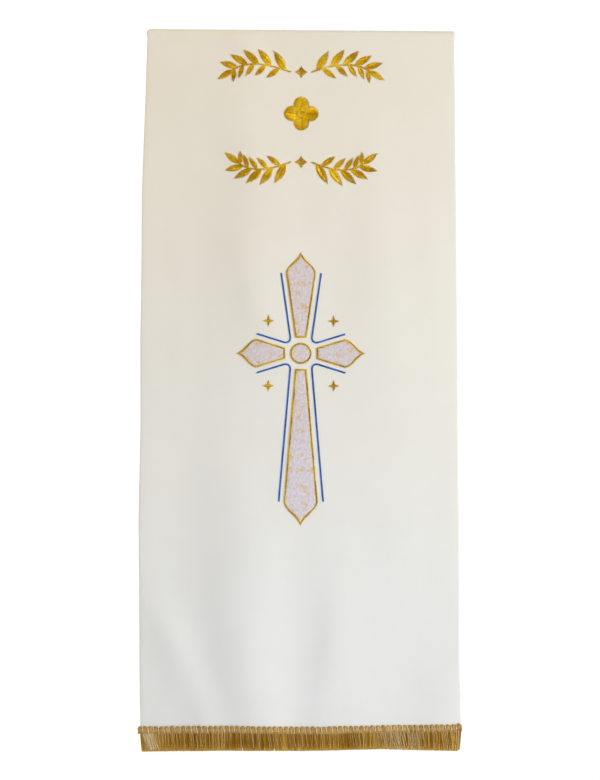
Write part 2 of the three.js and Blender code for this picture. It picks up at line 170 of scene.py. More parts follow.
def newGeometryBoard(name, inputs):
    tree = bpy.data.node_groups.new(name, "GeometryNodeTree")
    tree.interface.new_socket("Geometry", in_out="INPUT", socket_type="NodeSocketGeometry")
    for label, kind in inputs.items():
        tree.interface.new_socket(label, in_out="INPUT", socket_type=f"NodeSocket{kind}")
    tree.interface.new_socket("Geometry", in_out="OUTPUT", socket_type="NodeSocketGeometry")
    board = Board(tree)
    entry = tree.nodes.new("NodeGroupInput")
    for socket in entry.outputs:
        if socket.name:
            board.given[socket.name] = Wire(board, socket)
    return board


def endGeometry(board, geometry, material):
    # every tree ends by making its instances real, smooth and of one material
    real = board.node("GeometryNodeRealizeInstances", {}, {"Geometry": geometry})
    corners = board.node("GeometryNodeCornersOfFace", {}, {}, "Total")
    sides = board.math("COMPARE", corners, 4, 0.5)  # a thread's ends stay flat
    soft = board.node("GeometryNodeSetShadeSmooth", {}, {"Geometry": real, "Shade Smooth": sides})
    painted = board.node("GeometryNodeSetMaterial", {}, {"Geometry": soft, "Material": material})
    board.node("NodeGroupOutput", {}, {"Geometry": painted})


def newObject(name, data):
    made = bpy.data.objects.new(name, data)
    bpy.context.collection.objects.link(made)
    return made


def writeValues(mesh, name, kind, values):
    attribute = mesh.attributes.new(name, kind, "POINT")
    attribute.data.foreach_set("value", values)


def grown(name, guide, board, values):
    # runs a geometry tree on a guide mesh and keeps the result as a plain mesh
    piece = newObject(name, guide)
    modifier = piece.modifiers.new("nodes", "NODES")
    modifier.node_group = board.tree
    for item in board.tree.interface.items_tree:
        if item.item_type == "SOCKET" and item.in_out == "INPUT" and item.name in values:
            modifier[item.identifier] = values[item.name]
    graph = bpy.context.evaluated_depsgraph_get()
    mesh = bpy.data.meshes.new_from_object(piece.evaluated_get(graph), depsgraph=graph)
    piece.modifiers.remove(modifier)
    piece.data = mesh
    mesh.name = name
    return piece


def fitted(piece, slot, *nodes):
    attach(piece, "root")
    if nodes:
        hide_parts(*nodes)
    return piece


# Camera

view = {
    "place": (-0.0421, -2.2, -0.793),
    "yaw": 1.054,  # degrees towards +X
    "pitch": 5.281,
    "roll": 0.064,
    "focal": 1383.4,  # pixels of a frame 780 high
    "frameHeight": 780,
    "sensor": 36.0,
    "clipEnd": 50,
}


def makeCamera():
    data = bpy.data.cameras.new("camera")
    data.sensor_width = view["sensor"]
    data.lens = view["focal"] * view["sensor"] / view["frameHeight"]
    data.clip_end = view["clipEnd"]
    camera = newObject("camera", data)
    turn = Matrix.Rotation(math.radians(-view["yaw"]), 4, "Z")
    lift = Matrix.Rotation(math.radians(90 + view["pitch"]), 4, "X")
    roll = Matrix.Rotation(math.radians(view["roll"]), 4, "Z")
    camera.matrix_world = Matrix.Translation(view["place"]) @ turn @ lift @ roll
    bpy.context.scene.camera = camera


makeCamera()
print("camera made")


# Materials

def newFinish(name):
    material = bpy.data.materials.new(name)
    material.use_nodes = True
    material.node_tree.nodes.clear()
    return Board(material.node_tree), material


def shade(board, settings):
    surface = board.node("ShaderNodeBsdfPrincipled", {}, settings, "BSDF")
    board.node("ShaderNodeOutputMaterial", {}, {"Surface": surface})


def bump(board, height, strength, distance):
    return board.node("ShaderNodeBump", {}, {"Height": height, "Strength": strength, "Distance": distance})


wool = {
    "threadPitch": 0.0011,
    "threadWander": 1.3,
    "wanderScale": 90.0,
    "slubScale": 900.0,
    "slubStretch": 0.22,
    "fuzzScale": 3200.0,
    "cloudScale": 14.0,
    "weaveHeight": 0.35,
    "slubHeight": 0.4,
    "fuzzHeight": 0.5,
    "cream": (0.798, 0.784, 0.700, 1),
    "paleCream": (0.808, 0.795, 0.713, 1),
    "hollowShade": 0.93,
    "roughness": (0.82, 0.95),
    "relief": 0.0003,
}


def woolFinish():
    # cream crepe weave of fine upright and level threads, with faint slubs and fuzz, and painted shade in the
    # hollows between the threads
    board, material = newFinish("woolCloth")
    uv = board.coordinates("UV")
    across, along, _ = board.separate(uv)
    turns = 2 * math.pi / wool["threadPitch"]
    wander = board.noise(uv, wool["wanderScale"]) * wool["threadWander"]
    warp = board.math("SINE", across * turns + wander)
    weft = board.math("SINE", along * turns + wander)
    weave = warp * weft
    slubPlace = board.vector(across * wool["slubStretch"], along)
    slubs = board.noise(slubPlace, wool["slubScale"], 2.0, 0.6)
    fuzz = board.noise(uv, wool["fuzzScale"], 2.0, 0.6)
    height = weave * wool["weaveHeight"] + slubs * wool["slubHeight"] + fuzz * wool["fuzzHeight"]
    clouds = board.mapRange(board.noise(uv, wool["cloudScale"], 3.0, 0.55), 0.3, 0.7)
    base = board.mixColour(clouds, wool["cream"], wool["paleCream"])
    # painted shade: the cream is darkened in the hollows between the woven threads
    threads = board.mapRange(weave * 0.5 + fuzz, 0.0, 1.1, wool["hollowShade"], 1.0)
    creamWithHollowShade = board.mixColour(1.0, base, board.vector(threads, threads, threads), "MULTIPLY")
    shade(board, {
        "Base Color": creamWithHollowShade,
        "Roughness": board.mapRange(slubs, 0.3, 0.7, *wool["roughness"]),
        "Specular IOR Level": 0.2,
        "Sheen Weight": 0.06,
        "Sheen Roughness": 0.6,
        "Normal": bump(board, height, 0.35, wool["relief"]),
    })
    return material


rayon = {
    "patchScale": 55.0,
    "patchShare": 0.45,  # of the tone, the rest is each stitch's own
    "toneShine": 0.2,
    "roughness": (0.28, 0.46),
    "fibreScale": 4200.0,
    "relief": 0.0001,
}
satinThreads = {
    "gold": {
        "dark": (0.40, 0.207, 0.002, 1),
        "middle": (0.655, 0.392, 0.003, 1),
        "light": (0.90, 0.655, 0.043, 1),
        "metallic": 0.3,
        "shine": (0.9, 0.66, 0.12, 1),
    },
    "blue": {
        "dark": (0.010, 0.066, 0.285, 1),
        "middle": (0.018, 0.121, 0.49, 1),
        "light": (0.07, 0.262, 0.70, 1),
        "metallic": 0.1,
        "shine": (0.35, 0.6, 1, 1),
    },
}


def satinFinish(name, thread):
    # each stitch has its own tone, and its fine plies run along it
    board, material = newFinish(name)
    tone = board.node("ShaderNodeAttribute", {"attribute_name": "tone"}, {}, "Fac")
    place = board.coordinates()
    patches = board.noise(place, rayon["patchScale"])
    share = rayon["patchShare"]
    worn = tone * (1 - share) + board.mapRange(patches, 0.3, 0.7) * share
    stops = [(0.05, thread["dark"]), (0.45, thread["middle"]), (0.95, thread["light"])]
    colour = board.node("ShaderNodeValToRGB", {"stops": stops}, {"Fac": worn}, "Color")
    fibre = board.noise(place, rayon["fibreScale"], 2.0, 0.65)
    shade(board, {
        "Base Color": colour,
        "Metallic": thread["metallic"],
        "Specular Tint": thread["shine"],
        "Roughness": board.mapRange(patches + tone * rayon["toneShine"], 0.3, 0.8, *rayon["roughness"]),
        "Normal": bump(board, fibre, 0.3, rayon["relief"]),
    })
    return material


brocade = {
    "cloudScale": 80.0,
    "spotScale": 210.0,
    "fleckScale": 900.0,
    "speckScale": 1300.0,
    "silverScale": 330.0,
    "twillPitch": 0.0009,
    "spotShare": 0.8,
    "figureShare": 0.86,
    "fleckShare": 0.9,
    "speckShare": 0.6,
    "lilac": (0.555, 0.50, 0.52, 1),
    "silver": (0.745, 0.70, 0.715, 1),
    "peach": (0.68, 0.475, 0.22, 1),
    "metal": (0.58, 0.33, 0.06, 1),
    "glint": (0.93, 0.90, 0.90, 1),
    "relief": 0.0003,
}


def brocadeFinish():
    # silvery lilac brocade with cloudy peach-gold figures, metal flecks and near-white specks of painted
    # glint
    board, material = newFinish("brocade")
    place = board.coordinates()
    x, _, z = board.separate(place)
    clouds = board.mapRange(board.noise(place, brocade["cloudScale"], 4.0, 0.72), 0.53, 0.64)
    spots = board.mapRange(board.noise(place, brocade["spotScale"], 2.0, 0.6), 0.60, 0.70)
    figures = board.math("MAXIMUM", clouds, spots * brocade["spotShare"])
    fleckPlace = board.vector(x, 0.0, z * 0.45)
    flecks = board.mapRange(board.noise(fleckPlace, brocade["fleckScale"], 1.0), 0.60, 0.68)
    speckPlace = board.vector(x * 0.5, 1.0, z)
    specks = board.mapRange(board.noise(speckPlace, brocade["speckScale"], 1.0), 0.64, 0.70)
    twill = board.math("SINE", (x + z) * (2 * math.pi / brocade["twillPitch"])) * 0.5 + 0.5
    silverPlace = board.vector(x, 2.0, z * 0.6)
    silver = board.mapRange(board.noise(silverPlace, brocade["silverScale"], 3.0, 0.7), 0.25, 0.75)
    ground = board.mixColour(silver, brocade["lilac"], brocade["silver"])
    veiled = board.mixColour(figures * brocade["figureShare"], ground, brocade["peach"])
    gilded = board.mixColour(flecks * figures * brocade["fleckShare"], veiled, brocade["metal"])
    # painted highlight: near-white glint colour on small specks
    lit = board.mixColour(specks * brocade["speckShare"], gilded, brocade["glint"])
    shine = board.mapRange(flecks + specks, 0.0, 1.0)
    shade(board, {
        "Base Color": lit,
        "Metallic": shine * 0.35,
        "Roughness": board.mapRange(shine, 0.0, 1.0, 0.55, 0.3),
        "Sheen Weight": 0.2,
        "Normal": bump(board, twill * 0.7 + flecks * 0.6 + specks * 0.4, 0.5, brocade["relief"]),
    })
    return material


viscose = {
    "twistPitch": 0.0011,
    "twistSlant": 0.7,
    "metallic": 0.22,
    "specular": 0.25,
    "shine": (0.86, 0.62, 0.26, 1),
    "roughness": (0.42, 0.58),
    "fibreScale": 3600.0,
    "relief": 0.0002,
}
# deep between the threads, straw where they catch the light
fringeThreads = {
    "goldFringe": {
        "dark": (0.18, 0.064, 0.001, 1),
        "middle": (0.46, 0.200, 0.004, 1),
        "light": (0.76, 0.48, 0.10, 1),
    },
    "goldHeader": {
        "dark": (0.23, 0.115, 0.018, 1),
        "middle": (0.52, 0.315, 0.088, 1),
        "light": (0.76, 0.56, 0.27, 1),
    },
    "paleFringe": {
        "dark": (0.52, 0.36, 0.12, 1),
        "middle": (0.74, 0.56, 0.25, 1),
        "light": (0.92, 0.76, 0.44, 1),
    },
}


def fringeFinish(name):
    # twisted threads, each with its own tone along it
    thread = fringeThreads[name]
    board, material = newFinish(name)
    tone = board.node("ShaderNodeAttribute", {"attribute_name": "tone"}, {}, "Fac")
    place = board.coordinates()
    x, _, z = board.separate(place)
    turns = 2 * math.pi / viscose["twistPitch"]
    twist = board.math("SINE", (z + x * viscose["twistSlant"]) * turns)
    stops = [(0.0, thread["dark"]), (0.5, thread["middle"]), (1.0, thread["light"])]
    colour = board.node("ShaderNodeValToRGB", {"stops": stops}, {"Fac": tone}, "Color")
    fibre = board.noise(place, viscose["fibreScale"], 2.0, 0.65)
    shade(board, {
        "Base Color": colour,
        "Metallic": viscose["metallic"],
        "Specular IOR Level": viscose["specular"],
        "Specular Tint": viscose["shine"],
        "Roughness": board.mapRange(fibre, 0.2, 0.8, *viscose["roughness"]),
        "Normal": bump(board, twist * 0.25 + fibre * 0.5, 0.35, viscose["relief"]),
    })
    return material


sewing = {
    "fibreScale": 3000.0,
    "dark": (0.70, 0.64, 0.53, 1),
    "light": (0.86, 0.82, 0.74, 1),
    "roughness": 0.7,
    "relief": 0.0001,
}


def sewingFinish():
    # pale thread of the hems and behind the embroidery
    board, material = newFinish("sewingThread")
    fibre = board.noise(board.coordinates(), sewing["fibreScale"], 2.0, 0.6)
    shade(board, {
        "Base Color": board.mixColour(fibre, sewing["dark"], sewing["light"]),
        "Roughness": sewing["roughness"],
        "Normal": bump(board, fibre, 0.3, sewing["relief"]),
    })
    return material


finishes = {
    "wool": woolFinish(),
    "gold": satinFinish("goldThread", satinThreads["gold"]),
    "blue": satinFinish("blueThread", satinThreads["blue"]),
    "brocade": brocadeFinish(),
    "fringe": fringeFinish("goldFringe"),
    "header": fringeFinish("goldHeader"),
    "paleFringe": fringeFinish("paleFringe"),
    "sewing": sewingFinish(),
}
print("materials made")


# Cloth

cloth = {
    "width": 0.500,
    "length": 1.123,
    "thickness": 0.0012,
    "hemThickness": 0.0023,
    "sideHem": 0.013,
    "bottomHem": 0.022,
    "hemStep": 0.0006,
    "turnRadius": 0.009,  # inside the turned-over top
    "returnLength": 0.068,
    "returnHem": 0.016,
    "columnPitch": 0.0052,
    "rowPitch": 0.0056,
    "turnSteps": 20,
    "weld": 1e-6,
    "rimLines": (0.0, 0.00012, 0.0004, 0.0008, 0.00115),
    "stepLines": (0.0, 0.0002, 0.0004, 0.0006),
    # drop, and how far the left and right edges stand out there
    "edges": (
        (0.000, -0.0006, -0.0006), (0.003, 0.0006, 0.0004), (0.007, 0.0016, 0.0014), (0.011, 0.0008, 0.0006),
        (0.016, 0.0002, 0.0), (0.050, 0.0012, 0.0), (0.115, 0.0023, 0.0004), (0.180, 0.0042, 0.0),
        (0.275, 0.0064, 0.0005), (0.440, 0.0056, 0.0), (0.505, 0.0062, 0.0005), (0.650, 0.0042, -0.0002),
        (0.800, 0.0056, 0.0003), (0.915, 0.0030, -0.0006), (1.008, 0.0017, -0.0008), (1.070, 0.0005, -0.0002),
        (1.100, -0.0008, 0.0),
    ),
    # from x and drop, to x and drop, width, how far it stands out, fade in, fade out (0 runs to the foot)
    "folds": (
        (-0.120, 0.040, -0.052, 0.470, 0.034, 0.0022, 0.160, 0.150),
        (-0.190, 0.120, -0.186, 0.860, 0.036, -0.0019, 0.200, 0.160),
        (-0.226, 0.380, -0.222, 0.600, 0.013, 0.0010, 0.090, 0.120),
        (0.120, 0.180, 0.150, 0.560, 0.060, 0.0014, 0.240, 0.260),
        (-0.104, 0.640, -0.072, 1.123, 0.033, 0.0046, 0.280, 0.0),
        (-0.246, 0.880, -0.142, 1.123, 0.021, 0.0026, 0.110, 0.0),
        (0.018, 0.850, -0.008, 1.123, 0.023, -0.0014, 0.170, 0.0),
        (0.074, 0.850, 0.026, 1.123, 0.024, 0.0014, 0.170, 0.0),
        (0.186, 0.860, 0.146, 1.123, 0.044, -0.0023, 0.190, 0.0),
        (0.236, 0.940, 0.222, 1.123, 0.018, 0.0011, 0.140, 0.0),
    ),
    # finer creases in the same columns
    "creases": (
        (-0.264, -0.020, -0.264, 0.012, 0.012, 0.00120, 0.020, 0.030),
        (-0.226, 0.380, -0.222, 0.600, 0.013, -0.00085, 0.090, 0.120),
        (-0.194, 0.230, -0.190, 0.600, 0.014, 0.00060, 0.110, 0.130),
        (-0.118, -0.010, -0.076, 0.050, 0.020, 0.00170, 0.020, 0.070),
        (-0.128, 0.130, -0.118, 0.240, 0.028, -0.00150, 0.100, 0.110),
        (-0.112, 0.290, -0.080, 0.440, 0.018, 0.00125, 0.110, 0.080),
        (-0.060, 0.060, -0.020, 0.330, 0.012, 0.00020, 0.090, 0.120),
        (0.122, 0.090, 0.128, 0.500, 0.019, 0.00055, 0.120, 0.160),
        (0.080, 0.240, 0.060, 0.420, 0.016, -0.00025, 0.100, 0.140),
        (0.206, 0.160, 0.214, 0.520, 0.014, 0.00030, 0.120, 0.160),
        (-0.106, 0.760, -0.098, 0.880, 0.020, -0.00070, 0.110, 0.110),
        (-0.126, 0.850, -0.112, 1.010, 0.022, 0.00160, 0.110, 0.110),
        (-0.092, 0.900, -0.082, 1.010, 0.013, 0.00035, 0.090, 0.120),
        (0.060, 0.660, 0.110, 0.860, 0.015, -0.00030, 0.110, 0.140),
        (-0.020, 0.700, -0.048, 0.900, 0.014, 0.00030, 0.110, 0.120),
        (0.214, 0.640, 0.202, 0.860, 0.013, -0.00030, 0.110, 0.120),
        (0.056, 0.820, 0.046, 0.960, 0.019, 0.00060, 0.090, 0.100),
        (0.052, 0.960, 0.030, 1.123, 0.017, -0.00045, 0.080, 0.0),
        (0.030, 0.880, 0.010, 1.123, 0.016, -0.00050, 0.110, 0.0),
        (-0.190, 0.980, -0.166, 1.123, 0.010, -0.00035, 0.080, 0.0),
        (0.236, 0.900, 0.228, 1.123, 0.016, -0.00070, 0.110, 0.0),
        (0.098, 0.960, 0.086, 1.123, 0.011, 0.00025, 0.090, 0.0),
    ),
}


def smooth(value):
    t = np.clip(value, 0.0, 1.0)
    return t * t * (3 - 2 * t)


def foldAt(x, drop):
    # how far the front stands out towards the viewer
    total = np.zeros(np.broadcast(x, drop).shape)
    for fromX, fromDrop, toX, toDrop, width, rise, fadeIn, fadeOut in cloth["folds"] + cloth["creases"]:
        along = np.minimum(1.0, (drop - fromDrop) / (toDrop - fromDrop))
        centre = fromX + (toX - fromX) * along
        comingUp = smooth((drop - fromDrop) / fadeIn)
        dyingAway = 1 - smooth((drop - toDrop) / fadeOut) if fadeOut else 1.0
        total = total + rise * comingUp * dyingAway * np.exp(-0.5 * ((x - centre) / width) ** 2)
    return total


def frontFace(x, drop):
    held = np.minimum(drop, cloth["length"] - cloth["bottomHem"])
    return -(cloth["turnRadius"] + cloth["thickness"]) - foldAt(x, held)


def edgeX(drop):
    drops, left, right = np.array(cloth["edges"]).T
    half = cloth["width"] / 2
    return -half - np.interp(drop, drops, left), half + np.interp(drop, drops, right)


def linesAcross(total, firstHem, lastHem, breaks, pitch):
    # distances from one rim to the other, close together at the rims and where a hem ends
    rim = list(cloth["rimLines"])
    near = rim + [firstHem / 2] + [firstHem + step for step in cloth["stepLines"]]
    far = [total - d for d in rim + [lastHem / 2] + [lastHem + step for step in cloth["stepLines"]]]
    stops = [near[-1]] + list(breaks) + [min(far)]
    middle = []
    for low, high, spacing in zip(stops[:-1], stops[1:], pitch):
        count = max(1, round((high - low) / spacing))
        middle += list(np.linspace(low, high, count + 1)[1:])
    return np.array(near + middle[:-1] + sorted(far))


def makeClothMesh():
    outer = cloth["turnRadius"] + cloth["thickness"]
    turnStart = cloth["returnLength"] - cloth["turnRadius"]
    turnEnd = turnStart + math.pi * outer
    whole = turnEnd + cloth["length"] - cloth["turnRadius"]
    turnPitch = math.pi * outer / cloth["turnSteps"]
    pitches = (cloth["rowPitch"], turnPitch, cloth["rowPitch"])
    path = linesAcross(whole, cloth["returnHem"], cloth["bottomHem"], (turnStart, turnEnd), pitches)
    fromLeft = linesAcross(cloth["width"], cloth["sideHem"], cloth["sideHem"], (), (cloth["columnPitch"],))
    angle = np.clip((path - turnStart) / outer, 0, math.pi)
    overTurn = cloth["turnRadius"] - outer * np.sin(angle)
    drop = np.where(path < turnStart, cloth["returnLength"] - path, overTurn)
    drop = np.where(path > turnEnd, cloth["turnRadius"] + path - turnEnd, drop)
    left, right = edgeX(drop)
    x = left[:, None] + (right - left)[:, None] * fromLeft[None, :] / cloth["width"]
    turned = (outer * np.cos(angle))[:, None] + 0 * x
    y = np.where((path >= turnEnd)[:, None], frontFace(x, drop[:, None] + 0 * x), turned)
    z = -drop[:, None] + 0 * x

    fromSide = np.minimum(fromLeft, cloth["width"] - fromLeft)[None, :]
    fromEnd = np.minimum(path, whole - path)[:, None]
    endHem = np.where(path < whole / 2, cloth["returnHem"], cloth["bottomHem"])[:, None]
    sideFold = 1 - smooth((fromSide - cloth["sideHem"]) / cloth["hemStep"])
    endFold = 1 - smooth((fromEnd - endHem) / cloth["hemStep"])
    folded = np.maximum(sideFold, endFold)
    thick = cloth["thickness"] + (cloth["hemThickness"] - cloth["thickness"]) * folded
    fromRim = np.minimum(np.minimum(fromSide, fromEnd), thick / 2)
    rounding = np.sqrt(np.maximum(0, 1 - (1 - fromRim / (thick / 2)) ** 2))
    cut = thick / 2 * (1 - rounding)

    inY = -np.cos(angle)[:, None]
    inZ = -np.sin(angle)[:, None]
    faces = [(x, y + inY * depth, z + inZ * depth) for depth in (cut, thick - cut)]
    points = np.concatenate([np.stack(face, -1).reshape(-1, 3) for face in faces])
    uv = np.stack([x + cloth["width"], path[:, None] + 0 * x], -1).reshape(-1, 2)
    uv = np.concatenate([uv, uv])

    rows, columns = x.shape
    corner = (np.arange(rows - 1)[:, None] * columns + np.arange(columns - 1)[None, :]).ravel()
    front = np.stack([corner, corner + columns, corner + columns + 1, corner + 1], -1)
    back = front[:, ::-1] + rows * columns
    mesh = bpy.data.meshes.new("clothSheet")
    mesh.from_pydata(points.tolist(), [], np.concatenate([front, back]).tolist())
    layer = mesh.uv_layers.new(name="cloth")
    corners = np.empty(len(mesh.loops), dtype=np.int32)
    mesh.loops.foreach_get("vertex_index", corners)
    layer.data.foreach_set("uv", uv[corners].ravel())
    work = bmesh.new()
    work.from_mesh(mesh)
    bmesh.ops.remove_doubles(work, verts=work.verts, dist=cloth["weld"])
    work.to_mesh(mesh)
    work.free()
    mesh.shade_smooth()
    mesh.materials.append(finishes["wool"])
    return mesh


clothSheet = newObject("cloth_sheet", makeClothMesh())
print("cloth made,", len(clothSheet.data.polygons), "faces")


# Outlines are arrays of x and height; they are drawn about a point and then placed on the front

def lineTo(start, end, count):
    share = np.arange(count)[:, None] / count
    return np.array(start) + (np.array(end) - np.array(start)) * share


def cubicTo(start, first, second, end, count):
    t = np.arange(count)[:, None] / count
    a, b, c, d = (np.array(p) for p in (start, first, second, end))
    return a * (1 - t) ** 3 + 3 * b * t * (1 - t) ** 2 + 3 * c * t * t * (1 - t) + d * t ** 3


def quadraticAt(start, middle, end, share):
    t = np.asarray(share, dtype=float)[..., None]
    a, b, c = (np.array(p) for p in (start, middle, end))
    point = a * (1 - t) ** 2 + 2 * b * t * (1 - t) + c * t * t
    tangent = 2 * (b - a) * (1 - t) + 2 * (c - b) * t
    return point, tangent


def turned(points, degrees):
    a = math.radians(degrees)
    return points @ np.array([[math.cos(a), math.sin(a)], [-math.sin(a), math.cos(a)]])


def onFront(points, lift):
    # flat points laid on the front of the cloth, a little off it
    x = points[..., 0]
    height = points[..., 1]
    return np.stack([x, frontFace(x, -height) - lift, height], -1)


# Satin stitches: a pair of ends for each stitch, and one tree that turns the pairs into threads

satin = {
    "pitch": 0.00078,
    "radius": 0.00040,
    "arch": 0.00045,
    "unevenness": 0.00004,
    "steps": 5,
    "sides": 5,
    "lift": 0.00022,
    "slant": 0.35,
    "taper": 0.22,
    "endSize": 0.02,
    "seed": 11,
}


def makeThreadTree():
    board = newGeometryBoard("satinThreads", {
        "Thread Radius": "Float",
        "Arch": "Float",
        "Unevenness": "Float",
        "Steps": "Int",
        "Sides": "Int",
        "Seed": "Int",
        "Material": "Material",
    })
    given = board.given
    curve = board.node("GeometryNodeMeshToCurve", {}, {"Mesh": given["Geometry"]})
    curve = board.node("GeometryNodeResampleCurve", {}, {"Curve": curve, "Count": given["Steps"]})
    share = board.along()
    strand = board.named("strand", "INT")
    bow = share * (1 - share) * 4
    jitter = board.random(-1.0, 1.0, strand, given["Seed"])
    outwards = -1 * (bow * given["Arch"] + jitter * given["Unevenness"])
    curve = board.shifted(curve, board.vector(y=outwards))
    tone = board.random(0.0, 1.0, strand, given["Seed"] + 1)
    curve = board.stored(curve, "tone", tone)
    taper = (bow + satin["endSize"]) ** satin["taper"]
    thread = board.tube(curve, given["Sides"], given["Thread Radius"], taper)
    endGeometry(board, thread, given["Material"])
    return board


threadTree = makeThreadTree()


def guideMesh(name, pairs):
    # pairs of ends, as an array of stitches by 2 by 3, made into loose edges
    mesh = bpy.data.meshes.new(name)
    count = len(pairs)
    edges = np.arange(count * 2).reshape(-1, 2)
    mesh.from_pydata(pairs.reshape(-1, 3).tolist(), edges.tolist(), [])
    writeValues(mesh, "strand", "INT", np.repeat(np.arange(count), 2).astype(np.int32))
    return mesh


def stitched(name, pairs, material, **changes):
    values = {
        "Thread Radius": satin["radius"],
        "Arch": satin["arch"],
        "Unevenness": satin["unevenness"],
        "Steps": satin["steps"],
        "Sides": satin["sides"],
        "Seed": satin["seed"],
        "Material": finishes[material],
    }
    values.update(changes)
    if material in ("gold", "blue"):
        sewn.append(pairs)
    return grown(name, guideMesh(name, pairs), threadTree, values)


def rungs(first, second, lift=None):
    # stitches from one rail to the other, laid on the front
    pairs = np.stack([first, second], 1)
    return onFront(pairs, satin["lift"] if lift is None else lift)


def stitchCount(length):
    return max(2, round(length / satin["pitch"]))


# Cross: brocade panels with satin borders, blue lines and small buds

cross = {
    "drop": 0.532,
    "root": 0.025,
    "rootHalf": 0.009,
    "ogeeBulge": 0.95,
    "ogeeHollow": 0.22,
    "ogeeRise": 0.4,
    "ogeeLonger": 1.05,  # than a straight line between its ends
    "tipInset": 1.6,
    "roundel": 0.017,
    "roundelPoints": 40,
    "borderWidth": 0.0032,
    "borderLift": 0.0007,
    "panelEdge": 0.0006,  # how far the brocade ends inside the border's outer line
    "panelLift": 0.00055,
    "panelPuff": 0.00022,
    "puffReach": 0.006,
    "panelBase": 0.00002,
    "panelGrid": 0.0026,
    "panelClear": 0.4,  # of the grid, between its points and the outline
    "panelCorner": 50,  # degrees, past which an edge looks sharp
    "flankPitch": 0.006,
    "flankLeast": 6,
    "tipPoints": 14,
    "rootPoints": 4,
    "arms": (
        {"name": "cross_arm_top", "turn": 0, "length": 0.163, "shoulder": 0.024, "tip": 0.034},
        {"name": "cross_arm_right", "turn": -90, "length": 0.102, "shoulder": 0.023, "tip": 0.032},
        {"name": "cross_arm_left", "turn": 90, "length": 0.102, "shoulder": 0.023, "tip": 0.032},
        {"name": "cross_arm_foot", "turn": 180, "length": 0.273, "shoulder": 0.027, "tip": 0.038},
    ),
    "lineWidth": 0.0030,
    "lineOffset": 0.008,
    "lineBend": 0.009,
    "lineEase": 0.0003,
    "lineBendPoints": 16,
    "budSize": 0.009,
    "budWaist": 0.42,
    "budPlace": 0.052,
}


def armFlare(arm):
    shoulderAt = arm["length"] - arm["tip"]
    return (arm["shoulder"] - cross["rootHalf"]) / (shoulderAt - cross["root"])


def armRail(arm, inset, counts):
    # the arm's outline, moved in by inset, with counts points on its flank, half tip and root
    flank, tip, root = counts
    shoulderAt = arm["length"] - arm["tip"]
    rootAt = cross["root"] + inset
    rootHalf = cross["rootHalf"] + armFlare(arm) * inset - inset
    shoulder = arm["shoulder"] - inset
    point = arm["length"] - inset * cross["tipInset"]
    bulge = np.array([shoulder * cross["ogeeBulge"], shoulderAt + arm["tip"] * cross["ogeeRise"]])
    hollow = np.array([shoulder * cross["ogeeHollow"], point - arm["tip"] * cross["ogeeRise"]])
    mirror = np.array([-1, 1])
    return np.concatenate([
        lineTo((rootHalf, rootAt), (shoulder, shoulderAt), flank),
        cubicTo((shoulder, shoulderAt), bulge, hollow, (0, point), tip),
        cubicTo((0, point), hollow * mirror, bulge * mirror, (-shoulder, shoulderAt), tip),
        lineTo((-shoulder, shoulderAt), (-rootHalf, rootAt), flank),
        lineTo((-rootHalf, rootAt), (rootHalf, rootAt), root),
    ])


def circleRail(radius, count):
    a = np.arange(count) * 2 * math.pi / count
    return np.stack([radius * np.cos(a), radius * np.sin(a)], -1)


def placedOnCross(points, degrees=0):
    return turned(points, degrees) + np.array([0, -cross["drop"]])


def makePanel(name, outline):
    # a thin padded slab of brocade with closed sides, a little fuller away from its edge
    low = outline.min(0)
    high = outline.max(0)
    grid = cross["panelGrid"]
    columns = np.arange(low[0] + grid / 2, high[0], grid)
    rows = np.arange(low[1] + grid / 2, high[1], grid)
    across, up = np.meshgrid(columns, rows)
    inner = np.stack([across.ravel(), up.ravel()], -1)
    nearest = np.array([distanceToLoop(point, outline) for point in inner])
    inner = inner[nearest > grid * cross["panelClear"]]
    count = len(outline)
    edges = [(i, (i + 1) % count) for i in range(count)]
    places = [Vector(p) for p in np.concatenate([outline, inner]).tolist()]
    found = delaunay_2d_cdt(places, edges, [], 1, 1e-7)
    flat = np.array([tuple(v) for v in found[0]])
    triangles = found[2]
    depth = np.array([distanceToLoop(point, outline) for point in flat])
    lift = cross["panelLift"] + cross["panelPuff"] * smooth(depth / cross["puffReach"])
    top = onFront(flat, lift)
    base = onFront(flat, cross["panelBase"])
    work = bmesh.new()
    topVerts = [work.verts.new(p) for p in top.tolist()]
    baseVerts = [work.verts.new(p) for p in base.tolist()]
    for a, b, c in triangles:
        work.faces.new((topVerts[a], topVerts[b], topVerts[c]))
        work.faces.new((baseVerts[c], baseVerts[b], baseVerts[a]))
    order = {v: i for i, v in enumerate(topVerts)}
    for edge in [e for e in work.edges if len(e.link_faces) == 1 and e.verts[0] in order]:
        i, j = (order[v] for v in edge.verts)
        work.faces.new((topVerts[i], topVerts[j], baseVerts[j], baseVerts[i]))
    bmesh.ops.delete(work, geom=[v for v in work.verts if not v.link_faces], context="VERTS")
    bmesh.ops.recalc_face_normals(work, faces=work.faces)
    mesh = bpy.data.meshes.new(name)
    work.to_mesh(mesh)
    work.free()
    mesh.shade_smooth()
    mesh.set_sharp_from_angle(angle=math.radians(cross["panelCorner"]))
    mesh.materials.append(finishes["brocade"])
    return newObject(name, mesh)


def distanceToLoop(point, loop):
    start = loop
    run = np.roll(loop, -1, 0) - loop
    share = np.clip(((point - start) * run).sum(1) / np.maximum((run * run).sum(1), 1e-12), 0, 1)
    return float(np.sqrt((((start + run * share[:, None]) - point) ** 2).sum(1)).min())


decoration = []  # every piece that lies on the cloth
sewn = []  # the pairs of every satin piece, for the threads that show behind


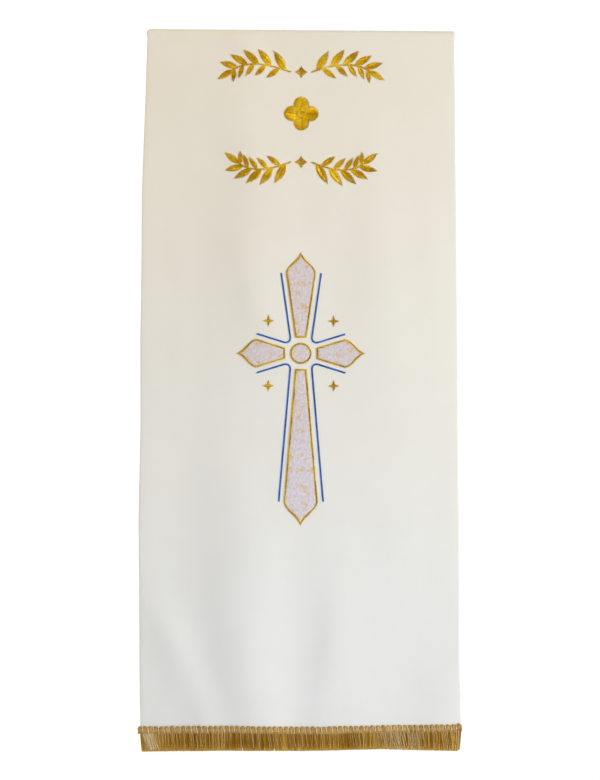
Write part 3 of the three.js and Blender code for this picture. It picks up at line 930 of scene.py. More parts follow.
def makeArms():
    width = cross["borderWidth"]
    for arm in cross["arms"]:
        shoulderAt = arm["length"] - arm["tip"]
        flank = math.hypot(shoulderAt - cross["root"], arm["shoulder"] - cross["rootHalf"])
        tip = math.hypot(arm["shoulder"], arm["tip"]) * cross["ogeeLonger"]
        fine = [stitchCount(length) for length in (flank, tip, 2 * cross["rootHalf"])]
        flankPoints = max(cross["flankLeast"], round(flank / cross["flankPitch"]))
        coarse = (flankPoints, cross["tipPoints"], cross["rootPoints"])
        field = placedOnCross(armRail(arm, cross["panelEdge"], coarse), arm["turn"])
        panel = makePanel(f"{arm['name']}_brocade", field)
        decoration.append(fitted(panel, "brocade", arm["name"]))
        outside = placedOnCross(armRail(arm, 0.0, fine), arm["turn"])
        inside = placedOnCross(armRail(arm, width, fine), arm["turn"])
        border = stitched(f"{arm['name']}_border", rungs(outside, inside, cross["borderLift"]), "gold")
        decoration.append(fitted(border, "gold_thread", arm["name"]))


def makeRoundel():
    radius = cross["roundel"]
    field = placedOnCross(circleRail(radius - cross["panelEdge"], cross["roundelPoints"]))
    panel = makePanel("cross_roundel_brocade", field)
    decoration.append(fitted(panel, "brocade", "cross_roundel"))
    count = stitchCount(2 * math.pi * radius)
    outside = placedOnCross(circleRail(radius, count))
    inside = placedOnCross(circleRail(radius - cross["borderWidth"], count))
    border = stitched("cross_roundel_border", rungs(outside, inside, cross["borderLift"]), "gold")
    decoration.append(fitted(border, "gold_thread", "cross_roundel"))


def ribbonRungs(points, width, lift=None):
    # stitches across a ribbon of one width, a little aslant
    tangent = np.gradient(points, axis=0)
    tangent /= np.linalg.norm(tangent, axis=1)[:, None]
    across = np.stack([-tangent[:, 1], tangent[:, 0]], -1) * width / 2
    lean = tangent * width / 2 * satin["slant"]
    return rungs(points + across + lean, points - across - lean, lift)


def evenly(points, pitch):
    # the same run with its points at one pitch
    steps = np.concatenate([[0], np.cumsum(np.linalg.norm(np.diff(points, axis=0), axis=1))])
    places = np.linspace(0, steps[-1], max(2, round(steps[-1] / pitch)))
    return np.stack([np.interp(places, steps, points[:, i]) for i in (0, 1)], -1)


def makeBlueLines():
    top, right, left, foot = cross["arms"]
    quarters = {
        "upper_right": (top, right, 1, 1),
        "upper_left": (top, left, -1, 1),
        "lower_right": (foot, right, 1, -1),
        "lower_left": (foot, left, -1, -1),
    }

    def flankLine(arm, along):
        return cross["rootHalf"] + armFlare(arm) * (along - cross["root"]) + cross["lineOffset"]

    for name, (upright, side, signX, signZ) in quarters.items():
        upOuter = upright["length"] - upright["tip"]
        sideOuter = side["length"] - side["tip"]
        corner = np.array([flankLine(upright, cross["root"]), flankLine(side, cross["root"])])
        bend = cross["lineBend"]
        ease = cross["lineEase"]
        share = np.linspace(0, 1, cross["lineBendPoints"])
        curve, _ = quadraticAt(corner + (ease, bend), corner, corner + (bend, ease), share)
        run = np.concatenate([
            [(flankLine(upright, upOuter), upOuter)],
            curve,
            [(sideOuter, flankLine(side, sideOuter))],
        ])
        points = placedOnCross(evenly(run, satin["pitch"]) * (signX, signZ))
        line = stitched(f"blue_line_{name}_stitches", ribbonRungs(points, cross["lineWidth"]), "blue")
        decoration.append(fitted(line, "blue_thread", f"blue_line_{name}"))


def budRungs(centre, size, waist):
    # stitches across each of four points, mitred where they meet
    narrow = size * waist * math.sqrt(0.5)
    out = np.arange(satin["pitch"] / 2, size, satin["pitch"])
    half = np.where(out < narrow, out, narrow * (size - out) / (size - narrow))
    parts = []
    for turn in (0, 90, 180, 270):
        first = turned(np.stack([out, half], -1), turn) + centre
        second = turned(np.stack([out, -half], -1), turn) + centre
        parts.append(rungs(first, second))
    return np.concatenate(parts)


def makeBuds():
    place = cross["budPlace"]
    for name, signX, signZ in (
        ("upper_right", 1, 1),
        ("upper_left", -1, 1),
        ("lower_right", 1, -1),
        ("lower_left", -1, -1),
    ):
        centre = np.array([place * signX, place * signZ - cross["drop"]])
        pairs = budRungs(centre, cross["budSize"], cross["budWaist"])
        bud = stitched(f"bud_{name}_stitches", pairs, "gold")
        decoration.append(fitted(bud, "gold_thread", f"bud_{name}"))


makeArms()
makeRoundel()
makeBlueLines()
makeBuds()
print("cross made,", len(decoration), "pieces")


# Ornament at the top: two pairs of leafy sprays, each with a lozenge, and a rosette between

ornament = {
    "rows": (
        {"name": "upper", "drop": 0.072, "reach": 0.142, "bow": 0.012},
        {"name": "lower", "drop": 0.221, "reach": 0.131, "bow": -0.012},
    ),
    "start": 0.017,
    "stemWidth": 0.0028,
    "stemLift": 0.00045,
    "stemShort": 0.8,  # of a leaf, by which the stem ends before the last leaf's point
    "stemDrift": 0.2,
    "stemPoints": 60,
    "leafPairs": 5,
    "leafLength": 0.038,
    "leafWidth": 0.013,
    "leafBelly": 0.42,
    "leafFullness": 1.02,
    "leafAngle": 40,
    "innerLeafAngle": 54,
    "innerLeafScale": 0.72,
    "firstPair": 0.35,
    "pairStagger": 0.08,
    "leafTaper": 0.22,
    "endLeafPlace": 0.985,
    "veinSlant": 0.75,
    "veinOverlap": 0.00030,
    "lozengeSize": 0.010,
    "lozengeWaist": 0.6,
    "rosetteDrop": 0.141,
    "rosetteReach": 0.028,
    "petalShare": 0.46,
    "petalSkew": 0.1,
    "petalVein": 0.97,
    "eyeShare": 0.62,
    "eyeHole": 0.34,
    "eyeLift": 0.0009,
    "knotReach": 0.36,
    "knotRadius": 0.38,
    "knotLift": 0.0010,
}


def leafPairsOf(length, width):
    # stitches of both halves of a leaf along +X, slanting forward from its mid vein to its edge
    share = (np.arange(stitchCount(length)) + 0.5) / stitchCount(length)
    belly = (length * ornament["leafBelly"], width * ornament["leafFullness"])
    edge, _ = quadraticAt((0, 0), belly, (length, 0), share)
    veinX = edge[:, 0] - ornament["veinSlant"] * edge[:, 1]
    vein = np.stack([veinX, 0 * share - ornament["veinOverlap"]], -1)
    upper = np.stack([vein, edge], 1)
    return np.concatenate([upper, upper * (1, -1)])


def sprayRungs(row, side):
    start = (ornament["start"], 0)
    middle = ((ornament["start"] + row["reach"]) / 2, row["bow"] * 2)
    stemEnd = row["reach"] - ornament["leafLength"] * ornament["stemShort"]
    end = (stemEnd, row["bow"] * ornament["stemDrift"])
    flip = np.array([side, 1])
    base = np.array([0, -row["drop"]])
    parts = []

    def addLeaf(at, lean, scale):
        foot, tangent = quadraticAt(start, middle, end, at)
        heading = math.degrees(math.atan2(tangent[1], tangent[0])) + lean
        leaf = leafPairsOf(ornament["leafLength"] * scale, ornament["leafWidth"] * scale)
        parts.append(onFront((turned(leaf, heading) + foot) * flip + base, satin["lift"]))

    outward = math.copysign(1, row["bow"])
    for i in range(ornament["leafPairs"]):
        at = (i + ornament["firstPair"]) / ornament["leafPairs"]
        scale = 1 - ornament["leafTaper"] * at
        addLeaf(at, outward * ornament["leafAngle"], scale)
        inner = min(1, at + ornament["pairStagger"])
        addLeaf(inner, -outward * ornament["innerLeafAngle"], scale * ornament["innerLeafScale"])
    addLeaf(ornament["endLeafPlace"], 0, 1 - ornament["leafTaper"])
    stem, _ = quadraticAt(start, middle, end, np.linspace(0, 1, ornament["stemPoints"]))
    stem = evenly(stem, satin["pitch"]) * flip + base
    parts.append(ribbonRungs(stem, ornament["stemWidth"], lift=ornament["stemLift"]))
    return np.concatenate(parts)


def rosetteRungs():
    reach = ornament["rosetteReach"]
    petal = reach * ornament["petalShare"]
    centre = np.array([0, -ornament["rosetteDrop"]])
    count = stitchCount(math.pi * petal)
    share = (np.arange(count) + 0.5) / count
    angle = math.pi * (1 - np.minimum(1, share + ornament["petalSkew"]))
    edge = np.stack([reach - petal + petal * np.cos(angle), petal * np.sin(angle)], -1)
    veinX = reach - 2 * petal + 2 * petal * share * ornament["petalVein"]
    vein = np.stack([veinX, 0 * share - ornament["veinOverlap"]], -1)
    half = np.stack([vein, edge], 1)
    parts = []
    for turn in (0, 90, 180, 270):
        for flip in ((1, 1), (1, -1)):
            parts.append(onFront(turned(half * flip, turn) + centre, satin["lift"]))
    eye = petal * ornament["eyeShare"]
    rim = circleRail(eye, stitchCount(2 * math.pi * eye))
    parts.append(rungs(rim * ornament["eyeHole"] + centre, rim + centre, ornament["eyeLift"]))
    knotReach = eye * ornament["knotReach"]
    knot = np.arange(-knotReach, knotReach, satin["pitch"])
    half = np.sqrt(np.maximum(0, (eye * ornament["knotRadius"]) ** 2 - knot ** 2))
    upper = np.stack([knot, half], -1) + centre
    lower = np.stack([knot, -half], -1) + centre
    parts.append(rungs(upper, lower, ornament["knotLift"]))
    return np.concatenate(parts)


def makeOrnament():
    for row in ornament["rows"]:
        for side, name in ((-1, "left"), (1, "right")):
            node = f"{row['name']}_spray_{name}"
            spray = stitched(f"{node}_stitches", sprayRungs(row, side), "gold")
            decoration.append(fitted(spray, "gold_thread", node))
        node = f"{row['name']}_lozenge"
        pairs = budRungs(np.array([0, -row["drop"]]), ornament["lozengeSize"], ornament["lozengeWaist"])
        decoration.append(fitted(stitched(f"{node}_stitches", pairs, "gold"), "gold_thread", node))
    rosette = stitched("middle_rosette_stitches", rosetteRungs(), "gold")
    decoration.append(fitted(rosette, "gold_thread", "middle_rosette"))


makeOrnament()
print("ornament made,", len(decoration), "pieces with the cross")


# Under threads of the satin stitches, on the back of the cloth

bobbin = {
    "every": 2,
    "share": 0.62,  # of the stitch in front
    "lift": 0.00004,
    "radius": 0.00045,
    "arch": -0.00022,
    "unevenness": 0.00005,
    "steps": 3,
}


def makeBobbinStitches():
    pairs = np.concatenate(sewn)[::bobbin["every"]]
    middle = pairs.mean(1, keepdims=True)
    flat = middle + (pairs - middle) * bobbin["share"]
    behind = frontFace(flat[..., 0], -flat[..., 2]) + cloth["thickness"]
    flat[..., 1] = behind + bobbin["lift"]
    piece = stitched("bobbin_stitches", flat, "sewing", **{
        "Thread Radius": bobbin["radius"],
        "Arch": bobbin["arch"],
        "Unevenness": bobbin["unevenness"],
        "Steps": bobbin["steps"],
    })
    decoration.append(fitted(piece, "wool_cloth"))
    return len(flat)


bobbinCount = makeBobbinStitches()
print("stitches behind made,", bobbinCount)


# Fringe: a tape with looped bundles, chain stitches along its foot and a skirt of fine threads

fringe = {
    "top": 1.1135,
    # x, and how much higher the header is sewn there
    "headLine": (
        (-0.255, -0.0009), (-0.210, -0.0009), (-0.180, -0.0002), (-0.100, 0.0000), (-0.065, -0.0006),
        (-0.030, -0.0013), (0.005, -0.0021), (0.040, -0.0020), (0.070, -0.0010), (0.100, -0.0005),
        (0.165, 0.0002), (0.230, 0.0011), (0.240, 0.0013), (0.247, 0.0028), (0.253, 0.0022),
    ),
    "foot": 1.1525,
    # x, and how much lower the foot of the skirt is there
    "footLine": (
        (-0.250, 0.0010), (-0.215, 0.0006), (-0.120, -0.0006), (-0.060, -0.0004), (0.000, 0.0006),
        (0.050, -0.0004), (0.125, -0.0019), (0.170, -0.0004), (0.245, 0.0008),
    ),
    "pathPoints": 240,
    "headerHeight": 0.012,
    "headerThickness": 0.0013,
    "gap": 0.0003,
    "overLeft": 0.0035,
    "overRight": 0.0015,
    "tapeInset": 0.0036,
    "tapeShare": 0.6,  # of the header's thickness
    "tapeTone": 0.35,
}


def fringeRise(x):
    places, higher = np.array(fringe["headLine"]).T
    return np.interp(x, places, higher)


def fringeEnds():
    left, right = edgeX(cloth["length"])
    return float(left - fringe["overLeft"]), float(right + fringe["overRight"])


def alongHem(x, lift, drop):
    # points on the foot of the cloth at every x, that far out and down
    y = frontFace(np.clip(x, *edgeX(cloth["length"])), cloth["length"]) - lift
    return np.stack([x, y, fringeRise(x) - drop], -1)


def hemPath(lift, drop):
    # a line as long as the fringe, which knows where the skirt ends below it
    points = alongHem(np.linspace(*fringeEnds(), fringe["pathPoints"]), lift, drop)
    mesh = bpy.data.meshes.new("hemPath")
    mesh.from_pydata(points.tolist(), [(i, i + 1) for i in range(len(points) - 1)], [])
    places, lower = np.array(fringe["footLine"]).T
    below = points[:, 2] + fringe["foot"] + np.interp(points[:, 0], places, lower)
    writeValues(mesh, "reach", "FLOAT", below.astype(np.float32))
    return mesh


def spreadPoints(board, count, share):
    # points along the hem path, each with the reach of the skirt there
    path = board.node("GeometryNodeMeshToCurve", {}, {"Mesh": board.given["Geometry"]})
    settings = {"mode": "FACTOR", "use_all_curves": True, "data_type": "FLOAT"}
    sockets = {"Curves": path, "Factor": share, "Value": board.named("reach")}
    sample = board.node("GeometryNodeSampleCurve", settings, sockets, "Position")
    points = board.node("GeometryNodePoints", {}, {"Count": count, "Position": sample})
    return points, sample.output("Value")


def makeTape():
    # the woven strip that the loops are worked on
    path = hemPath(fringe["gap"], fringe["top"] + fringe["tapeInset"])
    height = fringe["headerHeight"] - fringe["tapeInset"]
    depth = fringe["headerThickness"] * fringe["tapeShare"]
    corners = ((0, 0), (-depth, 0), (-depth, -height), (0, -height))
    work = bmesh.new()
    rings = []
    for vertex in path.vertices:
        x, y, z = vertex.co
        rings.append([work.verts.new((x, y + dy, z + dz)) for dy, dz in corners])
    for low, high in zip(rings[:-1], rings[1:]):
        for i in range(4):
            j = (i + 1) % 4
            work.faces.new((low[i], low[j], high[j], high[i]))
    work.faces.new(rings[0])
    work.faces.new(rings[-1][::-1])
    bmesh.ops.recalc_face_normals(work, faces=work.faces)
    mesh = bpy.data.meshes.new("fringe_tape")
    work.to_mesh(mesh)
    work.free()
    writeValues(mesh, "tone", "FLOAT", np.full(len(mesh.vertices), fringe["tapeTone"]))
    mesh.materials.append(finishes["fringe"])
    return newObject("fringe_tape", mesh)


# Header: bundles of looped threads, with one pale thread in the hollow after each

header = {
    "bundles": 60,
    "bundleWidth": 0.0071,
    "bundlePitch": 0.0084,
    "lean": -9.0,  # degrees, tops to the left
    "wander": 0.04,
    "toneVary": 0.16,
    "bundleToneVary": 0.06,
    "heightVary": 0.03,
    "leanVary": 0.05,
    "crown": 0.34,  # how much lower the outer threads of a bundle are
    "flatness": 0.35,
    # a loop's curve, as shares of its bulge and its height
    "curve": {
        "Start": (-0.45, -1.0),
        "Start Handle": (-1.25, -0.62),
        "End Handle": (-1.5, 0.14),
        "End": (0.0, -0.10),
    },
    "curvePoints": 9,
    "sides": 6,
    "shadeFrom": 0.50,  # along a loop, to its top, which is darkened as painted shade
    "shadeTo": 0.85,
    "loops": {
        "drop": 0.0004,
        "threads": 5,
        "height": 0.965,  # of the header
        "bulge": 0.0022,
        "shift": 0.5,
        "tone": 0.68,
        "topShade": 0.36,
        "radius": 0.00085,
        "seed": 23,
        "finish": "header",
    },
    "ties": {
        "drop": 0.0008,
        "threads": 1,
        "height": 0.94,
        "bulge": 0.0030,
        "shift": 0.985,
        "tone": 0.9,
        "topShade": 0.0,
        "radius": 0.00055,
        "seed": 32,
        "finish": "paleFringe",
    },
}


def makeLoopTree():
    board = newGeometryBoard("fringeLoops", {
        "Bundles": "Int",
        "Threads": "Int",
        "Spread": "Float",
        "Height": "Float",
        "Bulge": "Float",
        "Lean": "Float",
        "Shift": "Float",
        "Tone": "Float",
        "Top Shade": "Float",
        "Thread Radius": "Float",
        "Seed": "Int",
        "Material": "Material",
    })
    given = board.given
    seed = given["Seed"]
    index = board.node("GeometryNodeInputIndex")
    threads = given["Threads"]
    bundle = board.math("FLOOR", (index + 0.5) / threads)
    inBundle = index - bundle * threads
    side = (inBundle - (threads - 1) * 0.5) / threads * 2

    def vary(size, key, step):
        return board.random(-size, size, key, seed + step)

    wander = vary(header["wander"], bundle, 5)
    share = (bundle + given["Shift"] + wander + side * 0.5 * given["Spread"]) / given["Bundles"]
    points, _ = spreadPoints(board, given["Bundles"] * threads, share)
    ownTone = vary(header["toneVary"], index, 0) + vary(header["bundleToneVary"], bundle, 1)
    points = board.stored(points, "tone", given["Tone"] + ownTone)
    height = given["Height"]
    curve = {"Resolution": header["curvePoints"]}
    for name, (out, up) in header["curve"].items():
        curve[name] = board.vector(0.0, given["Bulge"] * out, height * up)
    loop = board.node("GeometryNodeCurvePrimitiveBezierSegment", {"mode": "POSITION"}, curve)
    tall = 1 - side * side * header["crown"] + vary(header["heightVary"], bundle, 2)
    tilt = given["Lean"] + vary(header["leanVary"], bundle, 3)
    # each loop is scaled about its foot, so the feet stay level
    lift = board.vector(z=height)
    raised = board.node("GeometryNodeTransform", {}, {"Geometry": loop, "Translation": lift})
    placed = board.node("GeometryNodeInstanceOnPoints", {}, {
        "Points": board.shifted(points, board.vector(z=height * -1)),
        "Instance": raised,
        "Rotation": board.node("FunctionNodeEulerToRotation", {}, {"Euler": board.vector(y=tilt)}),
        "Scale": board.vector(1.0, 1 - side * side * header["flatness"], tall),
    })
    real = board.node("GeometryNodeRealizeInstances", {}, {"Geometry": placed})
    # painted shade: each loop is darker over its top
    topness = board.mapRange(board.along(), header["shadeFrom"], header["shadeTo"])
    toned = board.stored(real, "tone", board.named("tone") - topness * given["Top Shade"])
    endGeometry(board, board.tube(toned, header["sides"], given["Thread Radius"]), given["Material"])
    return board


def makeHeader():
    tree = makeLoopTree()
    made = []
    for name in ("loops", "ties"):
        row = header[name]
        made.append(grown(f"fringe_{name}", hemPath(fringe["gap"], fringe["top"] + row["drop"]), tree, {
            "Bundles": header["bundles"],
            "Threads": row["threads"],
            "Spread": header["bundleWidth"] / header["bundlePitch"],
            "Height": fringe["headerHeight"] * row["height"],
            "Bulge": row["bulge"],
            "Lean": math.radians(header["lean"]),
            "Shift": row["shift"],
            "Tone": row["tone"],
            "Top Shade": row["topShade"],
            "Thread Radius": row["radius"],
            "Seed": row["seed"],
            "Material": finishes[row["finish"]],
        }))
    return made


# Skirt: threads from behind the foot of the header, each with its own length, lean and tone

skirt = {
    "tuck": 0.0035,  # how far up behind the header the threads begin
    "lift": 0.9,  # of the header's thickness
    "depth": 0.0019,
    "underBack": 0.55,  # of the depth
    "paleFront": 0.46,  # of the depth
    "steps": 6,
    "sides": 3,
    "lengthByStreak": 1.8,
    "lengthByThread": 1.1,
    "cornerFrom": 0.001,  # the last threads at each end are shorter
    "cornerTo": 0.006,
    "cornerCut": 0.0022,
    "leanScale": 38.0,
    "leanByThread": 0.45,
    "leftLean": 0.0028,
    "rightLean": 0.0034,
    "endReach": 0.020,
    "lockScale": 60.0,
    "lockDrift": 3,
    # x, and how far the threads part there
    "partings": ((-0.091, 0.0009), (-0.042, 0.0009)),
    "partingWidth": 0.0022,
    # sideways and in depth: how fast a wave changes from thread to thread, along a thread, and where
    "sideWave": (60, 1.3, 7.7),
    "depthWave": (90, 1.2, 2.2),
    "waveScale": 3.0,
    "rootDepth": 0.45,
    "rootSize": 1.08,
    "tipThinning": 0.3,
    "streakScale": 240.0,
    "swellScale": 24.0,
    "tone": 0.43,
    "toneByStreak": 1.6,
    "toneByThread": 0.8,
    "toneBySwell": 0.7,
    # painted highlight towards each thread's tip: from where along it, how much
    "tipHighlightFrom": 0.70,
    "tipHighlight": 0.70,
    # the threads are paler towards both ends, partly paler threads and partly painted light on the leaning
    # end threads: from x, to x, how much
    "leftPaleAndLit": (-0.235, -0.150, 0.24),
    "rightPaleAndLit": (0.030, 0.170, 0.10),
}

# inputs of the skirt tree for the threads that are seen
frontThreads = {
    "Threads": 5600,
    "From": 0.0066,
    "To": 0.9975,
    "Short": 0.0,
    "Length Vary": 0.0010,
    "Depth": skirt["depth"],
    "Lean": 0.0014,
    "Set Lean": 0.0007,  # a little towards the right
    "Curl": 0.0010,
    "Lock Size": 0.0046,
    "Lock Pull": 0.13,
    "Thread Radius": 0.00028,
    "Tone Low": 0.0,
    "Tone High": 1.0,
    "Seed": 53,
}

# what differs for the darker threads that close the skirt behind
underThreads = {
    "Threads": 2600,
    "Short": 0.0012,
    "Depth": skirt["depth"] * 0.4,
    "Lock Pull": 0.0,
    "Thread Radius": 0.00038,
    "Tone Low": 0.25,
    "Tone High": 0.90,
    "Seed": 68,
}

# what differs for the paler threads that cross the front
paleThreads = {"Length Vary": 0.0030, "Depth": skirt["depth"] * 0.5, "Lean": 0.0026, "Tone Low": 0.40}
paleGroups = {
    # a thick lock near the left end
    "left": {
        "Threads": 26, "From": 0.012, "To": 0.046, "Short": 0.003, "Set Lean": 0.0080,
        "Lock Size": 0.0066, "Lock Pull": 0.55, "Thread Radius": 0.00042,
    },
    # single threads all along
    "middle": {
        "Threads": 120, "From": 0.03, "To": 0.99, "Short": 0.006, "Set Lean": 0.0030,
        "Lock Size": 0.0052, "Lock Pull": 0.30, "Thread Radius": 0.00026,
    },
    # finer locks towards the right, and two tufts among them whose tips take the painted tip highlight more
    # strongly
    "right": {
        "Threads": 26, "From": 0.74, "To": 0.88, "Short": 0.001, "Set Lean": 0.0064,
        "Lock Size": 0.0110, "Lock Pull": 0.35, "Thread Radius": 0.00030,
    },
    "inner_tuft": {
        "Threads": 8, "From": 0.768, "To": 0.798, "Set Lean": 0.0105,
        "Lock Pull": 0.0, "Thread Radius": 0.00028, "Tone Low": -0.35,
    },
    "outer_tuft": {
        "Threads": 8, "From": 0.824, "To": 0.854, "Set Lean": 0.0095,
        "Lock Pull": 0.0, "Thread Radius": 0.00028, "Tone Low": -0.35,
    },
}
paleSeed = 83


def makeSkirtTree():
    board = newGeometryBoard("fringeSkirt", {
        "Threads": "Int",
        "From": "Float",
        "To": "Float",
        "Short": "Float",
        "Length Vary": "Float",
        "Depth": "Float",
        "Lean": "Float",
        "Set Lean": "Float",
        "Curl": "Float",
        "Lock Size": "Float",
        "Lock Pull": "Float",
        "Thread Radius": "Float",
        "Tone Low": "Float",
        "Tone High": "Float",
        "Seed": "Int",
        "Material": "Material",
    })
    given = board.given
    seed = given["Seed"]
    index = board.node("GeometryNodeInputIndex")
    spot = (index + board.random(0.0, 1.0, index, seed)) / given["Threads"]
    share = given["From"] + (given["To"] - given["From"]) * spot
    points, reach = spreadPoints(board, given["Threads"], share)
    x, _, _ = board.separate(board.node("GeometryNodeInputPosition"))
    # what each thread knows about itself all along
    own = {
        "depth": board.random(-1.0, 1.0, index, seed + 2),
        "chance": board.random(0.0, 1.0, index, seed + 1) - 0.5,
        "streak": board.noise(board.vector(x, 0.7, 0.0), skirt["streakScale"], 3.0, 0.7) - 0.5,
        "swell": board.noise(board.vector(x, 0.3, 0.0), skirt["swellScale"], 2.0, 0.6) - 0.5,
        "startX": x,
        "number": index,
    }
    for name, value in own.items():
        points = board.stored(points, name, value)
    vary = own["streak"] * skirt["lengthByStreak"] + own["chance"] * skirt["lengthByThread"]
    left, right = fringeEnds()
    fromEnd = board.math("MINIMUM", x - left, right - x)
    corner = board.mapRange(fromEnd, skirt["cornerFrom"], skirt["cornerTo"], skirt["cornerCut"], 0.0)
    reach = reach - given["Short"] + vary * given["Length Vary"] - corner
    line = board.node("GeometryNodeCurvePrimitiveLine", {}, {"End": (0.0, 0.0, -1.0)})
    line = board.node("GeometryNodeResampleCurve", {}, {"Curve": line, "Count": skirt["steps"]})
    placed = board.node("GeometryNodeInstanceOnPoints", {}, {
        "Points": points,
        "Instance": line,
        "Scale": board.vector(1.0, 1.0, reach),
    })
    real = board.node("GeometryNodeRealizeInstances", {}, {"Geometry": placed})

    along = board.along()
    startX = board.named("startX")
    bias = board.noise(board.vector(startX, 3.1, 0.0), skirt["leanScale"], 2.0, 0.6) - 0.5
    ownBias = board.random(-1.0, 1.0, board.named("number"), seed + 3)
    drift = board.noise(board.vector(startX, 5.3, 0.0), skirt["lockScale"], 1.0) * skirt["lockDrift"]
    lock = startX / given["Lock Size"] + drift
    offCentre = lock - board.math("FLOOR", lock) - 0.5
    gather = offCentre * given["Lock Size"] * given["Lock Pull"] * -1

    def wave(name):
        across, down, level = skirt[name]
        return board.noise(board.vector(startX * across, along * down, level), skirt["waveScale"]) - 0.5

    slope = bias * 2 * given["Lean"] + ownBias * given["Lean"] * skirt["leanByThread"] + given["Set Lean"]
    shiftX = along * slope + along * along * gather + along * wave("sideWave") * given["Curl"]
    for parting, opening in skirt["partings"]:
        away = (startX - parting) / skirt["partingWidth"]
        near = board.math("EXPONENT", away * away * -0.5)
        side = board.math("SIGN", away)
        shiftX = shiftX + along * along * side * near * opening
    inLeft = board.mapRange(startX - left, 0.0, skirt["endReach"], 1.0, 0.0)
    inRight = board.mapRange(right - startX, 0.0, skirt["endReach"], 1.0, 0.0)
    shiftX = shiftX + along * (inLeft * skirt["leftLean"] - inRight * skirt["rightLean"])
    fan = along * (1 - skirt["rootDepth"]) + skirt["rootDepth"]
    shiftY = board.named("depth") * given["Depth"] * 0.5 * fan + along * wave("depthWave") * given["Curl"]
    moved = board.shifted(real, board.vector(shiftX, shiftY, 0.0))

    tone = board.named("streak") * skirt["toneByStreak"] + board.named("chance") * skirt["toneByThread"]
    tone = tone + board.named("swell") * skirt["toneBySwell"] + skirt["tone"]
    # painted highlight: each thread is lighter over its last part, towards the tip
    tone = tone + board.mapRange(along, skirt["tipHighlightFrom"], 1.0) * skirt["tipHighlight"]
    # paler ends: partly paler threads, partly painted light where the leaning end threads catch more light
    start, stop, pale = skirt["leftPaleAndLit"]
    tone = tone + board.mapRange(startX, start, stop, pale, 0.0)
    start, stop, pale = skirt["rightPaleAndLit"]
    tone = tone + board.mapRange(startX, start, stop, 0.0, pale)
    spread = given["Tone High"] - given["Tone Low"]
    toned = board.stored(moved, "tone", given["Tone Low"] + spread * tone)
    size = skirt["rootSize"] - along * along * skirt["tipThinning"]
    thread = board.tube(toned, skirt["sides"], given["Thread Radius"], size)
    endGeometry(board, thread, given["Material"])
    return board


def makeSkirt():
    tree = makeSkirtTree()
    top = fringe["top"] + fringe["headerHeight"] - skirt["tuck"]
    lift = fringe["gap"] + fringe["headerThickness"] * skirt["lift"]
    gold = {**frontThreads, "Material": finishes["fringe"]}
    made = [grown("fringe_skirt", hemPath(lift, top), tree, gold)]
    under = {**gold, **underThreads}
    made.append(grown("fringe_under", hemPath(lift - skirt["depth"] * skirt["underBack"], top), tree, under))
    paleLift = lift + skirt["depth"] * skirt["paleFront"]
    for number, (name, changes) in enumerate(paleGroups.items()):
        pale = {**frontThreads, **paleThreads, **changes}
        pale["Seed"] = paleSeed + number
        pale["Material"] = finishes["paleFringe"]
        made.append(grown(f"fringe_pale_{name}", hemPath(paleLift, top), tree, pale))
    return made


# Two rows of slanting chain stitches along the foot of the header

chain = {
    "above": 0.0022,
    "rowPitch": 0.0011,
    "lift": 0.0026,
    "pitch": 0.0014,
    "halfStitch": 0.0009,
    "slant": 0.0004,
    "endClear": 0.001,
    "radius": 0.00025,
    "arch": 0.0003,
}


def makeChains():
    left, right = fringeEnds()
    x = np.arange(left + chain["endClear"], right - chain["endClear"], chain["pitch"])
    middle = fringe["top"] + fringe["headerHeight"] - chain["above"]
    made = []
    for number, side in enumerate((1, -1)):
        centre = alongHem(x, fringe["gap"] + chain["lift"], middle + number * chain["rowPitch"])
        half = np.array([chain["halfStitch"], 0, side * chain["slant"]])
        pairs = np.stack([centre - half, centre + half], 1)
        values = {"Thread Radius": chain["radius"], "Arch": chain["arch"]}
        made.append(stitched(f"fringe_chain_{number + 1}", pairs, "header", **values))
    return made


fringePieces = [makeTape()] + makeHeader() + makeSkirt() + makeChains()
for piece in fringePieces:
    fitted(piece, "gold_fringe", "fringe")
print("fringe made,", sum(len(p.data.polygons) for p in fringePieces), "faces")


# Hand stitches that hold the hems, seen on the back only

hemSewing = {
    "pitch": 0.007,
    "topDrop": 0.02,
    "cornerClear": 0.018,
    "onHem": 0.0012,
    "onCloth": 0.0011,
    "advance": 0.0016,
    "proud": 0.00005,
    "sink": 0.0009,
    "radius": 0.00016,
    "arch": -0.0002,
    "unevenness": 0.00002,
}


def hemStitchPairs():
    onHem = hemSewing["onHem"]
    onCloth = hemSewing["onCloth"]
    advance = hemSewing["advance"]
    hemDrop = cloth["length"] - cloth["bottomHem"]
    pairs = []

    def depths(x, drop):
        # of a stitch's end on the hem and its end in the cloth
        y = float(frontFace(x, drop)) + cloth["hemThickness"]
        return y + hemSewing["proud"], y - hemSewing["sink"]

    for drop in np.arange(hemSewing["topDrop"], hemDrop, hemSewing["pitch"]):
        left, right = edgeX(drop)
        for edge, sign in ((left, 1), (right, -1)):
            x = edge + sign * cloth["sideHem"]
            high, low = depths(x, drop)
            pairs.append(((x - sign * onHem, high, -drop), (x + sign * onCloth, low, -drop - advance)))
    left, right = edgeX(cloth["length"])
    clear = hemSewing["cornerClear"]
    for x in np.arange(left + clear, right - clear, hemSewing["pitch"]):
        high, low = depths(x, hemDrop)
        pairs.append(((x, high, -hemDrop - onHem), (x + advance, low, -hemDrop + onCloth)))
    return np.array(pairs)


hemStitches = stitched("hem_stitches", hemStitchPairs(), "sewing", **{
    "Thread Radius": hemSewing["radius"],
    "Arch": hemSewing["arch"],
    "Unevenness": hemSewing["unevenness"],
})
fitted(hemStitches, "wool_cloth")
fitted(clothSheet, "wool_cloth", "cloth")
decoration + fringePieces + [hemStitches]


# Floor and light

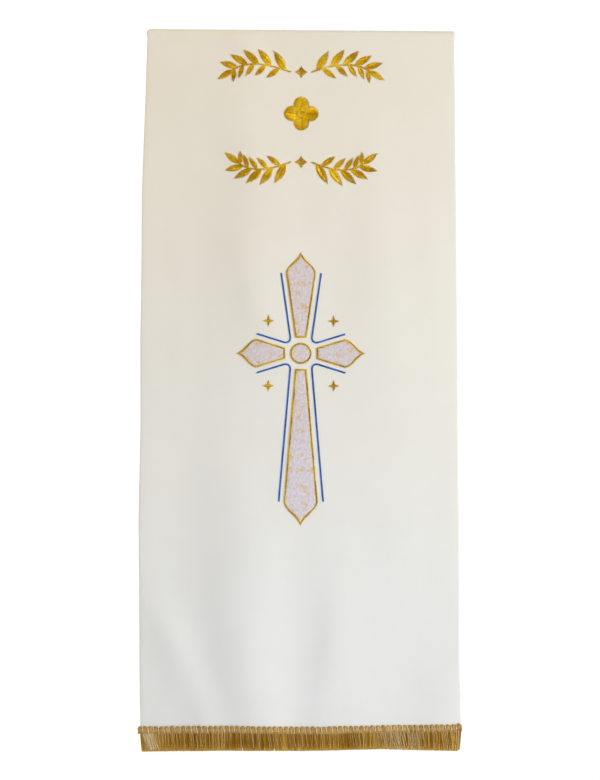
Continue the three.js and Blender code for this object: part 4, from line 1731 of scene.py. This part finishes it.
studio = {
    "floorHeight": -1.62,
    "floorRadius": 2.1,
    "floorSides": 64,
    "paleTo": 0.35,  # of the floor's radius, inside which it is plain
    "whiteFrom": 0.97,
    "fill": 0.36,
    "background": 1.05,
    "lamps": {
        "key": {
            "place": (3.2, -1.5, -0.25),
            "aim": (0.0, 0.0, -0.50),
            "size": 1.2,
            "power": 48.1,
            "colour": (0.98, 0.985, 0.975),
            "spread": 110,
        },
        "top": {
            "place": (-0.9, -1.0, 0.95),
            "aim": (-0.2, 0.0, -0.1),
            "size": 0.8,
            "power": 2.12,
            "colour": (1, 0.6, 0.225),
            "spread": 90,
        },
        "crest": {
            "place": (-0.5, -0.06, 1.0),
            "aim": (0.0, 0.0, 0.0),
            "size": 0.6,
            "power": 0.26,
            "colour": (1, 0.93, 0.82),
            "spread": 60,
        },
        "foot": {
            "place": (0.3, -1.3, -1.5),
            "aim": (0.0, 0.0, -1.15),
            "size": 0.8,
            "power": 1.04,
            "colour": (0.23, 0.44, 1),
            "spread": 60,
        },
        "back": {
            "place": (-1.7, 2.5, 0.3),
            "aim": (0.0, 0.0, -0.5),
            "size": 1.6,
            "power": 60,
            "colour": (1, 0.95, 0.88),
            "spread": 180,
        },
    },
}


def makeFloor():
    # a pale round floor that runs out into the white of the room
    radius = studio["floorRadius"]
    sides = studio["floorSides"]
    rim = circleRail(radius, sides)
    mesh = bpy.data.meshes.new("floor")
    mesh.from_pydata([(x, y, studio["floorHeight"]) for x, y in rim.tolist()], [], [tuple(range(sides))])
    board, material = newFinish("paleFloor")
    place = board.coordinates()
    flat = board.node("ShaderNodeVectorMath", {"operation": "MULTIPLY"}, {0: place, 1: (1.0, 1.0, 0.0)})
    away = board.node("ShaderNodeVectorMath", {"operation": "LENGTH"}, {0: flat}, "Value")
    rimShare = board.mapRange(away, radius * studio["paleTo"], radius * studio["whiteFrom"])
    pale = board.node("ShaderNodeBsdfDiffuse", {}, {"Color": (0.82, 0.82, 0.81, 1)})
    white = board.node("ShaderNodeEmission", {}, {"Color": (1, 1, 1, 1), "Strength": studio["background"]})
    blend = board.node("ShaderNodeMixShader", {}, {0: rimShare, 1: pale, 2: white})
    board.node("ShaderNodeOutputMaterial", {}, {"Surface": blend})
    mesh.materials.append(material)
    floor = newObject("floor", mesh)


def makeWorld():
    world = bpy.data.worlds.new("studio")
    bpy.context.scene.world = world
    world.use_nodes = True
    world.node_tree.nodes.clear()
    board = Board(world.node_tree)
    seen = board.node("ShaderNodeLightPath", {}, {}, "Is Camera Ray")
    strength = studio["fill"] + seen * (studio["background"] - studio["fill"])
    sky = board.node("ShaderNodeBackground", {}, {"Color": (1, 1, 1, 1), "Strength": strength})
    board.node("ShaderNodeOutputWorld", {}, {"Surface": sky})


def makeLamp(name, values):
    data = bpy.data.lights.new(name, "AREA")
    data.size = values["size"]
    data.energy = values["power"]
    data.color = values["colour"]
    data.spread = math.radians(values["spread"])
    lamp = newObject(name, data)
    away = Vector(values["place"]) - Vector(values["aim"])
    turn = away.to_track_quat("Z", "Y").to_matrix().to_4x4()
    lamp.matrix_world = Matrix.Translation(values["place"]) @ turn
    lamp.visible_camera = False


makeFloor()
makeWorld()
for name, values in studio["lamps"].items():
    makeLamp(name, values)
bpy.context.scene.view_settings.view_transform = "Standard"
print("studio made")
